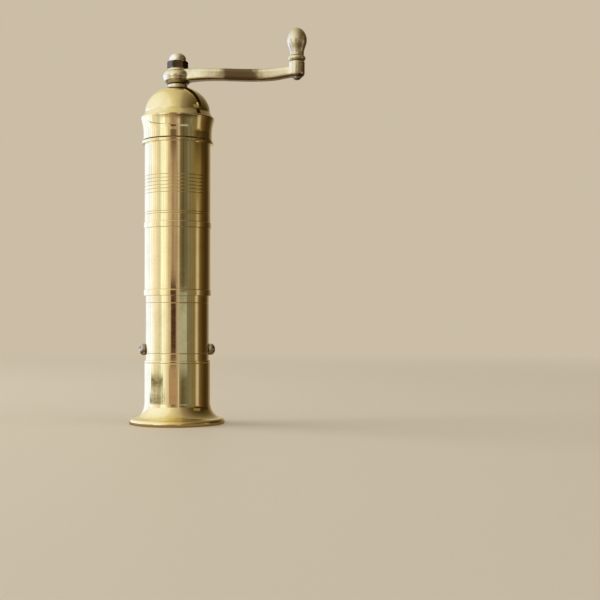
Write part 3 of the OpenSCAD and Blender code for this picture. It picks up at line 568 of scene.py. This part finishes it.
# ---- Lid ----------------------------------------------------------------------------------------
# Three brass parts soldered together: a turned collar with a waist and a groove between its flange
# and its cornice, a dome spun from sheet, and the bush in the dome's crown on which the crank runs.
collar_low, collar_high = box_mm("lid_collar")
cornice_r = collar_high.x
flange_r = 24.3
flange_h = 2.0
waist_r = 23.31
skirt_bore = 22.51                 # it slides over the hopper
flange_top = collar_low.z + flange_h
groove_r = waist_r - 0.35          # a groove parts the flange from the waist
groove_top = flange_top + 0.75
lip_top = groove_top + 0.2         # its upper edge is bevelled
waist_high = flange_top + 5.0      # the waist swings out from here to the cornice
WAIST_STEPS = 12
cornice_z = hopper_high.z + 1.3
cornice_top = cornice_z + 0.9
dome_low, dome_high = box_mm("lid_dome")
dome_r = dome_high.x
collar = turn("lid_collar_shell", ring_outline(
    [(skirt_bore, collar_low.z, 0.15), (flange_r, collar_low.z, 0.3), (flange_r, flange_top, 0.3),
     (groove_r, flange_top, 0.1), (groove_r, groove_top, 0.1), (waist_r, lip_top, 0.1)]
    + [(waist_r + (cornice_r - waist_r) * t * t / WAIST_STEPS ** 2,
        waist_high + (cornice_z - waist_high) * t / WAIST_STEPS, 0) for t in range(WAIST_STEPS)]
    + [(cornice_r, cornice_z, 0.12), (cornice_r, cornice_top, 0.25),
       (cornice_r - 0.5, cornice_top + 0.3, 0.3), (dome_r + 0.35, dome_low.z - 0.6, 0.5),
       (dome_r + 0.05, dome_low.z, 0.1), (hopper_bore, dome_low.z, 0.1), (hopper_bore, hopper_high.z, 0),
       (skirt_bore, hopper_high.z, 0)]))
finish_piece(collar, spun_brass, "lid", "brass", "lid_collar")
# Polish and oil dry in the groove, where no cloth reaches, and show as a dull dark line, which is darkened
# further as painted shade in the crease
groove_polish_and_shade_brass = polished_metal("brass_with_dried_polish_and_painted_shade", "#65532F", "#4A3C2A", (0.4, 0.55), marks=0.6)
collar.data.materials.append(groove_polish_and_shade_brass)
for face in collar.data.polygons:
    in_groove = flange_top - 0.02 < face.center.z / MM < lip_top
    if in_groove and face.center.xy.length < (waist_r - 0.02) * MM:
        face.material_index = 1

crown_r = 6.9                      # the dome's flat top, in which the bush sits
bush_r = 5.62
dome_h = dome_high.z - dome_low.z
rise = dome_h / math.sqrt(1 - (crown_r / dome_r) ** 2)
outer_stop = math.degrees(math.asin(dome_h / rise))
inner_stop = math.degrees(math.asin((dome_h - sheet) / (rise - sheet)))
dome = turn("lid_dome_shell", ring_outline(
    arc((0, dome_low.z), (dome_r, rise), 0, outer_stop, 40)
    + [(bush_r, dome_high.z, 0), (bush_r, dome_high.z - sheet, 0)]
    + arc((0, dome_low.z), (dome_r - sheet, rise - sheet), inner_stop, 0, 40)))
finish_piece(dome, spun_brass, "lid", "brass", "lid_dome")

bush_low, bush_high = box_mm("lid_bush")
bush_bore = 4.6                    # it turns on the corners of the spindle's square
ferrule_r = bush_high.x
# Brass straight from the lathe: paler and duller than the polished tubes, with fine turning marks
turned_brass = polished_metal("turned_pale_brass", "#E9DDBC", "#A98B5C", (0.2, 0.36), lines_mm=0.3,
                              line_depth=0.002, marks=0.5)
bush = turn("lid_bush_turned", ring_outline(
    [(bush_bore, bush_low.z, 0.2), (bush_r, bush_low.z, 0.2), (bush_r, dome_high.z, 0),
     (ferrule_r, dome_high.z, 0.3), (ferrule_r, bush_high.z, 0.6), (bush_bore, bush_high.z, 0.3)]), around=96)
finish_piece(bush, turned_brass, "lid", "pale_brass", "lid_bush")


# ---- Crank arm ----------------------------------------------------------------------------------
# Cast in yellow brass in one piece and polished: a barrel-shaped hub with a square hole, a gently
# swinging arm and a boss for the knob's pin. Its edges are soft, as a sand casting's are.
CRANK = 83.0                       # from the spindle to the pin
pin_axis = (CRANK * MM, 0)
hub_low = bush_high.z + 0.3
hub_h = 10.3
hub_r = 10.0
hub_top = hub_low + hub_h
arm_z = hub_low + hub_h / 2 + 0.5
root_h = 2 * (hub_top - 0.3 - arm_z)   # height of the arm where it leaves the hub
boss_r = 5.3
boss_h = 10.2
boss_low = arm_z + 1.4 - boss_h / 2
boss_top = boss_low + boss_h
pin_r = 2.0
square = 5.4                       # the spindle's square that the crank sits on
CAST_STEP = 0.32                   # grain of the casting's mesh
ARM_FROM = hub_r / 2               # the arm starts inside the hub
ARM_RUN = CRANK - ARM_FROM
ARM_W = 9
ARM_H = 7.6
ARM_SWING = 2.4                    # how far it swings to either side of a straight line
ARM_SAG = 1.3                      # and how far it hangs down on its way
ARM_EDGE = 1.9
# Cast brass: pale and bright where it is polished, with the sand's fine pits, and brown and dull underneath,
# as tarnish where nobody polishes it and as painted shade. The arm also has a dark patch half-way: a painted
# dark reflection.
casting = dict(colour="#EBDDB6", stain="#664F30", shine=(0.12, 0.3), grain=0.025, marks=0.35,
               underside_tarnish_and_shade=(-0.35, -0.75, 0.8))
cast_brass = polished_metal("cast_pale_brass", **casting)
arm_brass = polished_metal("cast_pale_brass_with_a_painted_dark_reflection", dark_reflection_patch=(33.5, 58, 0.92), **casting)


def arm_station(x):
    """Width, height and centre (y, z) of the arm at distance x from the spindle."""
    s = (x - ARM_FROM) / ARM_RUN
    # Shares of the hub, which end after 0.3 of the way, and of the boss, which start at 0.75
    root = max(0.0, 1 - s / 0.3) ** 2
    end = min(1.0, max(0.0, (s - 0.75) / 0.2)) ** 2
    swing = -ARM_SWING * math.sin(2 * math.pi * s) * (1 - 0.35 * s)
    height = ARM_H + (root_h - ARM_H) * root
    high = arm_z - ARM_SAG * math.sin(math.pi * s ** 1.7) + height / 2
    low = (high - height) * (1 - end) + (boss_low + 0.2) * end
    return ARM_W + 2 * root - 0.8 * end, high - low, swing, (high + low) / 2


def pick(*pieces):
    """Selects these pieces only and makes the first one active."""
    bpy.ops.object.select_all(action="DESELECT")
    for piece in pieces:
        piece.select_set(True)
    bpy.context.view_layer.objects.active = pieces[0]


def bevel(piece, width, segments, along=None):
    """Rounds all edges of a piece, or only those that run along one axis: 0 is X and 2 is Z."""
    for line in piece.data.edges:
        a, b = (piece.data.vertices[i].co for i in line.vertices)
        line.select = along is None or abs(a[along] - b[along]) > 0.5 * MM
    bpy.ops.object.mode_set(mode="EDIT")
    bpy.ops.mesh.select_mode(type="EDGE")
    bpy.ops.mesh.bevel(offset=width * MM, segments=segments)
    bpy.ops.object.mode_set(mode="OBJECT")


def block(name, low, high, edge=0.0):
    """A block between two corners in mm, with rounded edges."""
    bpy.ops.object.select_all(action="DESELECT")
    bpy.ops.mesh.primitive_cube_add(size=1, location=(Vector(low) + Vector(high)) / 2 * MM)
    piece = bpy.context.object
    piece.name = name
    piece.scale = (Vector(high) - Vector(low)) * MM
    bpy.ops.object.transform_apply(location=True, rotation=True, scale=True)
    if edge:
        bevel(piece, edge, 4)
    bpy.ops.object.shade_smooth_by_angle(angle=SMOOTH)
    return piece


def cylinder(name, r, low, high, centre=(0, 0), around=192):
    """A plain cylinder between two heights in mm, to cut with."""
    return turn(name, [(0, low), (r, low), (r, high), (0, high)], centre, around)


def join(name, *parts):
    """Joins pieces into the first one."""
    pick(*parts)
    bpy.ops.object.join()
    parts[0].name = name
    return parts[0]


hub = turn("hub", soften(
    [(0, hub_low, 0), (hub_r - 2.7, hub_low, 0.5), (hub_r - 0.7, hub_low + 2.1, 0.7)]
    + arc((hub_r - 3, hub_low + hub_h * 0.52), (3, hub_h * 0.34), -30, 88, 14)
    + [(hub_r - 3.1, hub_top, 0.4), (0, hub_top, 0)]), around=128)
boss = turn("boss", soften(
    [(0, boss_low, 0), (boss_r - 1.9, boss_low, 0)] + arc((boss_r - 2, boss_low + 2.4), (2, 2.4), -75, 0, 10)
    + [(boss_r, boss_top, 0.6), (0, boss_top, 0)]), centre=pin_axis, around=96)
# The arm grows out of a thin block's end face, station by station
width, height, swing, middle = arm_station(ARM_FROM)
arm = block("arm", (ARM_FROM - 1, swing - width / 2, middle - height / 2),
            (ARM_FROM, swing + width / 2, middle + height / 2))
bpy.ops.object.mode_set(mode="EDIT")
bpy.ops.mesh.select_mode(type="FACE")
bpy.ops.mesh.select_all(action="DESELECT")
bpy.ops.object.mode_set(mode="OBJECT")
for face in arm.data.polygons:
    face.select = face.normal.x > 0.9
bpy.ops.object.mode_set(mode="EDIT")
STATIONS = 30
for i in range(1, STATIONS + 1):
    x = ARM_FROM + ARM_RUN * i / STATIONS
    now = arm_station(x)
    bpy.ops.mesh.extrude_region_move(TRANSFORM_OT_translate={
        "value": (ARM_RUN / STATIONS * MM, (now[2] - swing) * MM, (now[3] - middle) * MM)})
    bpy.ops.transform.resize(value=(1, now[0] / width, now[1] / height),
                             center_override=(x * MM, now[2] * MM, now[3] * MM))
    width, height, swing, middle = now
bpy.ops.object.mode_set(mode="OBJECT")
bevel(arm, ARM_EDGE, 5, along=0)
crank = join("crank_casting", hub, arm, boss)
# One skin over the three and a little wear give the fillets of a casting
cast = crank.modifiers.new("cast", "REMESH")
cast.mode = "VOXEL"
cast.voxel_size = CAST_STEP * MM
cast.use_smooth_shade = True
bpy.ops.object.modifier_apply(modifier=cast.name)
worn = crank.modifiers.new("worn", "SMOOTH")
worn.factor = 0.5
worn.iterations = 5
bpy.ops.object.modifier_apply(modifier=worn.name)
hole = square / 2 + 0.02           # half of the square hole, with its play
cut(crank, block("square_hole", (-hole, -hole, hub_low - 1), (hole, hole, hub_top + 1)))
cut(crank, cylinder("pin_hole", pin_r + 0.07, boss_low - 1, boss_top + 1, pin_axis, 64))
pick(crank)
bpy.ops.object.shade_smooth_by_angle(angle=math.radians(42))
finish_piece(crank, arm_brass, "crank", "pale_brass", "crank_arm")


# ---- Cap nut ------------------------------------------------------------------------------------
# A domed hexagon nut, turned and milled from bar, that holds the crank on the spindle's square.
# Fingers keep its dome bright and pale, while its flats are painted dark brown as a painted dark reflection.
nut_brass = polished_metal("turned_nut_brass", "#F2E8D6", "#8A7654", (0.14, 0.26), marks=0.35)
painted_dark_flat_brass = polished_metal("milled_brass_painted_dark_reflection", "#5E4E38", "#4A3C2A", (0.12, 0.24), marks=0.6)
NUT_FLATS = 12.6
CORNER = math.radians(30)          # flats that meet at more than this keep their edge
nut_hex_h = 5.6
nut_dome_h = 5.7
nut_dome_r = 5.8
stud_r = 2.5                       # the spindle's threaded end, on which it sits
stud_low = hub_top - 0.6
stud_top = stud_low + 8.0
corner_r = NUT_FLATS / math.sqrt(3)
chamfer_r = corner_r + 0.05
dome_base = hub_top + nut_hex_h
dome_mid = dome_base + nut_dome_h * 0.2
bpy.ops.object.select_all(action="DESELECT")
bpy.ops.mesh.primitive_cylinder_add(vertices=6, radius=corner_r * MM, depth=nut_hex_h * MM,
                                    location=(0, 0, (hub_top + nut_hex_h / 2) * MM),
                                    rotation=(0, 0, math.pi / 6 + SCREW_AXIS))
nut = bpy.context.object
bpy.ops.object.transform_apply(location=True, rotation=True, scale=True)
bevel(nut, 0.35, 3, along=2)
cut(nut, turn("chamfer", soften(
    [(0, hub_top, 0), (corner_r - 0.5, hub_top, 0.2), (chamfer_r, hub_top + 0.6, 0.2),
     (chamfer_r, dome_base - 1.0, 0.3), (corner_r - 1.2, dome_base, 0.3), (0, dome_base, 0)]), around=96),
    "INTERSECT")
cut(nut, turn("dome", soften(
    [(0, dome_base - 0.5, 0), (nut_dome_r, dome_base - 0.5, 0), (nut_dome_r, dome_mid, 0)]
    + arc((0, dome_mid), (nut_dome_r, nut_dome_h * 0.8), 8, 90, 18)), around=96), "UNION")
cut(nut, turn("thread", [(0, hub_top - 1), (stud_r + 0.02, hub_top - 1), (stud_r + 0.02, stud_top + 1),
                         (0, stud_top + 1.8)], around=48))
nut.name = "cap_nut_turned"
pick(nut)
bpy.ops.object.shade_smooth_by_angle(angle=CORNER)
finish_piece(nut, nut_brass, "cap_nut", "pale_brass", "cap_nut")
# The milled flats take the dark brass, which is a painted dark reflection
nut.data.materials.append(painted_dark_flat_brass)
for face in nut.data.polygons:
    if abs(face.normal.z) < 0.5 and hub_top + 0.2 < face.center.z / MM < dome_base - 0.4:
        face.material_index = 1


# ---- Knob and its pin ---------------------------------------------------------------------------
# The knob is turned from brass and pressed on a steel pin, which runs in the crank's boss. The pin's
# lower end is riveted over a washer.

# Handled brass: its shine is a soft satin one, with brown tarnish in its neck
satin_brass = polished_metal("satin_turned_brass", "#E6D8B4", "#8C7044", (0.24, 0.36), lines_mm=0.5,
                             line_depth=0.001, marks=0.45)
knob_low, knob_high = box_mm("knob")
bead_r = 5.8
bead_h = 3.6
neck_r = 4.7
belly_r = 6.7
crown_h = 8.6
neck_z = knob_low.z + bead_h + 1.6
belly_z = knob_high.z - crown_h
socket_top = knob_low.z + 11       # end of the hole that the pin is pressed into
SWELL_STEPS = 14
swell = [(neck_r + (belly_r - neck_r) * (1 - math.cos(math.pi * i / SWELL_STEPS)) / 2,
          neck_z + (belly_z - neck_z) * i / SWELL_STEPS, 0) for i in range(1, SWELL_STEPS + 1)]
knob = turn("knob_turned", soften(
    [(0, socket_top + 0.3, 0), (pin_r + 0.02, socket_top, 0), (pin_r + 0.02, knob_low.z, 0.2),
     (bead_r - 1, knob_low.z, 0)]
    + arc((bead_r - 1.5, knob_low.z + bead_h / 2), (1.5, bead_h / 2), -80, 80, 12)
    + [(neck_r + 0.15, knob_low.z + bead_h + 0.1, 0.3), (neck_r, neck_z, 0.3)] + swell
    + arc((0, belly_z), (belly_r, crown_h), 6, 90, 18)), centre=pin_axis, around=128)
finish_piece(knob, satin_brass, "knob", "pale_brass", "knob")

# Steel straight from the lathe: grey and fairly bright between brown stains
bright_steel = polished_metal("turned_bright_steel", "#B8B2A2", "#6E6048", (0.2, 0.38), lines_mm=0.25,
                              line_depth=0.002, marks=0.7)
rivet_r = 2.7
washer_r = 3.4
pin_low, pin_high = box_mm("knob_pin")
washer_low, washer_high = box_mm("pin_washer")
pin = turn("knob_pin_riveted", soften(
    arc((0, washer_low.z), (rivet_r, washer_low.z - pin_low.z), -90, 0, 12)
    + [(pin_r, washer_low.z, 0), (pin_r, pin_high.z, 0.4), (0, pin_high.z, 0)]), centre=pin_axis, around=64)
finish_piece(pin, bright_steel, "knob", "steel", "knob_pin")
washer = turn("pin_washer_stamped", ring_outline(
    [(washer_r, washer_low.z, 0.15), (washer_r, washer_high.z, 0.15), (pin_r + 0.02, washer_high.z, 0.1),
     (pin_r + 0.02, washer_low.z, 0.1)]), centre=pin_axis, around=64)
finish_piece(washer, bright_steel, "knob", "steel", "pin_washer")


# ---- Spindle ------------------------------------------------------------------------------------
# A square bar of drawn steel that runs from the thrust ball up to the crank. It is filed down to a
# smaller square for the crank and threaded above that for the cap nut.
spindle_low = box_mm("spindle")[0]
half = 3.2                         # half of the bar's width
PITCH = 0.8
THREADS = 9
root_r = stud_r - 0.4
bar = block("bar", (-half, -half, spindle_low.z), (half, half, hub_low), 0.35)
seat = block("seat", (-square / 2, -square / 2, hub_low - 1), (square / 2, square / 2, stud_low), 0.3)
ridges = []
for i in range(THREADS):
    z = stud_low + 0.3 + i * PITCH
    ridges += [(root_r, z, 0.05), (stud_r, z + PITCH * 0.4, 0.08), (stud_r, z + PITCH * 0.5, 0.08)]
stud = turn("stud", soften([(0, stud_low - 1, 0), (root_r, stud_low - 1, 0)] + ridges
                           + [(stud_r - 0.5, stud_top, 0.2), (0, stud_top, 0)]), around=64)
spindle = join("spindle_bar", bar, seat, stud)
# Drawn bar: grey steel with a faint grain, gone brown in patches
drawn_steel = polished_metal("drawn_steel_bar", "#B4B2AE", "#5E5348", (0.2, 0.42), marks=0.7, grain=0.01)
finish_piece(spindle, drawn_steel, "spindle", "steel", "spindle")


# ---- Top bearing --------------------------------------------------------------------------------
# A cast spider in the mouth of the mechanism tube. Three arms hold its hub, and peppercorns fall
# between them. A flanged bronze bush in the hub guides the spindle and holds the burr spring down.
bearing_low, bearing_high = box_mm("top_bearing")
bearing_top = bearing_high.z
rim_low = bearing_top - 2.0
rim_r = bearing_high.x
rim_in = rim_r - 2.5
bush_out = 6.0
spider_r = 7.8                     # outside of its hub and of the bush's flange
spoke_w = 3.6
spider = [turn("rim", ring_outline([(rim_in, rim_low, 0.3), (rim_r, rim_low, 0.2), (rim_r, bearing_top, 0.4),
                                    (rim_in, bearing_top, 0.4)])),
          turn("hub", ring_outline([(bush_out, bearing_low.z, 0.2), (spider_r, bearing_low.z, 0.5),
                                    (spider_r, bearing_top, 0.5), (bush_out, bearing_top, 0.2)]), around=96)]
for i in range(3):
    spoke = block("spoke", (bush_out + 0.8, -spoke_w / 2, rim_low + 0.02),
                  (rim_r - 1, spoke_w / 2, bearing_top - 0.02), 0.45)
    spoke.data.transform(Matrix.Rotation(SCREW_AXIS + math.radians(120 * i), 4, "Z"))
    spider.append(spoke)
finish_piece(join("spider_casting", *spider), cast_brass, "mill_body", "pale_brass", "top_bearing")

sleeve_low, sleeve_high = box_mm("spindle_bush")
flange_z = sleeve_low.z + 1.2
# Sintered bronze: redder than the brass round it and dulled by the oil in its pores
bearing_bronze = polished_metal("sintered_bearing_bronze", "#C9986A", "#7A5433", (0.22, 0.42), lines_mm=0.3,
                                line_depth=0.002, marks=0.7)
sleeve = turn("spindle_bush_turned", ring_outline(
    [(bush_bore, sleeve_low.z, 0.2), (spider_r, sleeve_low.z, 0.2), (spider_r, flange_z, 0.2),
     (bush_out, flange_z, 0), (bush_out, sleeve_high.z, 0.25), (bush_bore, sleeve_high.z, 0.3)]), around=96)
finish_piece(sleeve, bearing_bronze, "mill_body", "bronze", "spindle_bush")


# ---- Springs ------------------------------------------------------------------------------------
# Two compression springs coiled from hard-drawn wire: one under the top bearing presses the inner
# burr down, and one between the adjusting screw's head and the bar keeps the setting.

# Spring wire: grey, with the brown skin of its drawing and tempering over most of it
spring_steel = polished_metal("hard_drawn_spring_wire", "#A9A7A2", "#4F463D", (0.2, 0.42), marks=0.8)


def spring(name, mean_r, wire, low, high, turns, around=32):
    """A round-wire spring between two heights in mm, with one closed coil at each end."""
    closed = wire * 1.04           # pitch of a closed coil
    pitch = (high - low - wire - 2 * closed) / turns
    curve = bpy.data.curves.new(name, "CURVE")
    curve.dimensions = "3D"
    curve.bevel_depth = wire / 2 * MM
    curve.bevel_resolution = 4
    curve.use_fill_caps = True
    line = curve.splines.new("POLY")
    count = int((turns + 2) * around)
    line.points.add(count)
    for i in range(count + 1):
        t = i / around
        rise = min(t, 1) * closed + min(max(t - 1, 0), turns) * pitch + max(t - turns - 1, 0) * closed
        a = 2 * math.pi * t
        x, y, z = mean_r * math.cos(a), mean_r * math.sin(a), low + wire / 2 + rise
        line.points[i].co = (x * MM, y * MM, z * MM, 1)
    coil = bpy.data.objects.new(name, curve)
    bpy.context.scene.collection.objects.link(coil)
    pick(coil)
    bpy.ops.object.convert(target="MESH")
    coil = bpy.context.object
    bpy.ops.object.shade_smooth_by_angle(angle=math.radians(40))
    return coil


spring_low, spring_high = box_mm("burr_spring")
coil = spring("burr_spring_coil", mean_r=5.625, wire=1.2, low=spring_low.z, high=spring_high.z, turns=6)
finish_piece(coil, spring_steel, "mill_body", "steel", "burr_spring")
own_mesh(coil)
lock_low, lock_high = box_mm("lock_spring")
lock = spring("lock_spring_coil", mean_r=4.1, wire=1.0, low=lock_low.z, high=lock_high.z, turns=1)
finish_piece(lock, spring_steel, "mill_body", "steel", "lock_spring")
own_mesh(lock)


# ---- Adjusting screw and its bar ----------------------------------------------------------------
# A steel bar across the tube carries a threaded boss, and the knurled brass screw in it sets the
# height of the inner burr. Two small screws hold the bar to the burr carrier.
screw_low, screw_high = box_mm("adjusting_screw")
knurl_r = 8.0
knurl_low = screw_low.z
knurl_top = knurl_low + 6.0
bevel_w = 1.1                      # of the knurled head's two rims
thread_r = 3.0
GROOVE_STEPS = (0, 0.15, 0.5, 0.6, 0.5, 0.15)   # depth of one groove of the knurl, from vertex to vertex
COLUMNS = 180
head = turn("adjusting_screw_turned", soften(
    [(0, knurl_low, 0), (knurl_r - bevel_w, knurl_low, 0.3), (knurl_r, knurl_low + bevel_w, 0.2),
     (knurl_r, knurl_top - bevel_w, 0.2), (knurl_r - bevel_w, knurl_top, 0.3), (thread_r, knurl_top, 0.3),
     (thread_r, screw_high.z, 0.3), (0, screw_high.z, 0)]), around=COLUMNS)
for vertex in head.data.vertices:
    radius = vertex.co.xy.length
    if radius > (knurl_r - 0.4) * MM and vertex.co.z < knurl_top * MM:
        column = round(math.degrees(math.atan2(vertex.co.y, vertex.co.x)) / 360 * COLUMNS)
        press = 1 - GROOVE_STEPS[column % len(GROOVE_STEPS)] * MM / radius
        vertex.co.x *= press
        vertex.co.y *= press
slot_half, slot_top = 0.8, knurl_low + 1.4
cut(head, block("slot", (-10, -slot_half, knurl_low - 1), (10, slot_half, slot_top)))
cup_z = screw_high.z + 0.1         # the ball lies in a cone at the top
cut(head, turn("ball_cup", soften(
    [(0, cup_z - 1.8, 0), (1.6, cup_z - 1.2, 0), (2.45, cup_z, 0), (0, cup_z, 0)]), around=48))
finish_piece(head, turned_brass, "adjuster", "pale_brass", "adjusting_screw")

bar_low, bar_high = box_mm("screw_bar")
bar_top = bar_high.z
bar_z = bar_top - 4.0              # underside of the bar, from which the boss stands down
bar_half = 20.5
bar_w = 11.0
boss_out = 6.0
tapped_r = thread_r + 0.07
tapped_mouth = 4.0
bar_screw_x = 18.51
bar_screw_r = 1.3
bar_head_r = 2.06
across_screws = Matrix.Rotation(SCREW_AXIS + math.pi / 2, 4, "Z")
bridge = block("bridge", (-bar_half, -bar_w / 2, bar_z), (bar_half, bar_w / 2, bar_top), 0.5)
cut(bridge, cylinder("ends", bar_half, bar_z - 1, bar_top + 1), "INTERSECT")
cut(bridge, turn("boss", soften([(0, bar_low.z, 0), (boss_out, bar_low.z, 0.6), (boss_out, bar_z + 1, 0),
                                 (0, bar_z + 1, 0)]), around=96), "UNION")
cut(bridge, turn("thread", soften(
    [(0, bar_low.z - 1, 0), (3.5, bar_low.z - 1, 0), (tapped_r, bar_low.z + 0.4, 0),
     (tapped_r, bar_top - 1, 0), (tapped_mouth, bar_top + 0.1, 0), (0, bar_top + 0.1, 0)]), around=64))
for x in (-bar_screw_x, bar_screw_x):
    cut(bridge, cylinder("screw_hole", bar_screw_r + 0.02, bar_z - 1, bar_top + 1, (x * MM, 0), 48))
bridge.data.transform(across_screws)
bridge.name = "screw_bar_milled"
pick(bridge)
bpy.ops.object.shade_smooth_by_angle(angle=CORNER)
finish_piece(bridge, drawn_steel, "mill_body", "steel", "screw_bar")

bar_screws = []
for turned, x in ((0.4, -bar_screw_x), (-0.9, bar_screw_x)):
    screw = turn("bar_screw", soften(
        arc((0, bar_z - 0.6), (bar_head_r, 1.05), -90, 0, 8)
        + [(bar_head_r, bar_z, 0.1), (bar_screw_r, bar_z, 0), (bar_screw_r, bar_top + 1.8, 0.3),
           (0, bar_top + 1.8, 0)]), around=48)
    cut(screw, block("slot", (-3, -0.4, bar_z - 2.2), (3, 0.4, bar_z - 1.1)))
    screw.data.transform(across_screws @ Matrix.Translation((x * MM, 0, 0)) @ Matrix.Rotation(turned, 4, "Z"))
    bar_screws.append(screw)
finish_piece(join("bar_screws_turned", *bar_screws), bright_steel, "mill_body", "steel", "bar_screws")


# ---- Hidden mechanism ---------------------------------------------------------------------------
# The tray in the receiver, the burr carrier and the parts inside it keep their measured shapes and
# get the finish that each is made with.

# Hardened steel: nearly black, with a grained skin and worn spots that shine
hardened_steel = polished_metal("hardened_burr_steel", "#6E7074", "#2E2A27", (0.28, 0.5), grain=0.012,
                                marks=0.8)
# A ground ball mirrors like glass
ball_steel = polished_metal("ground_bearing_steel", "#D2D3D4", "#8E8C88", (0.05, 0.16), marks=0.2)
for node, metal in (("receiver_tray", drawn_brass), ("burr_carrier", turned_brass),
                    ("outer_burr", hardened_steel), ("inner_burr", hardened_steel),
                    ("burr_pin", bright_steel), ("spring_washer", bright_steel), ("thrust_ball", ball_steel)):
    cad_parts[node].data.materials.clear()
    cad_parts[node].data.materials.append(metal)

bpy.ops.object.select_all(action="DESELECT")
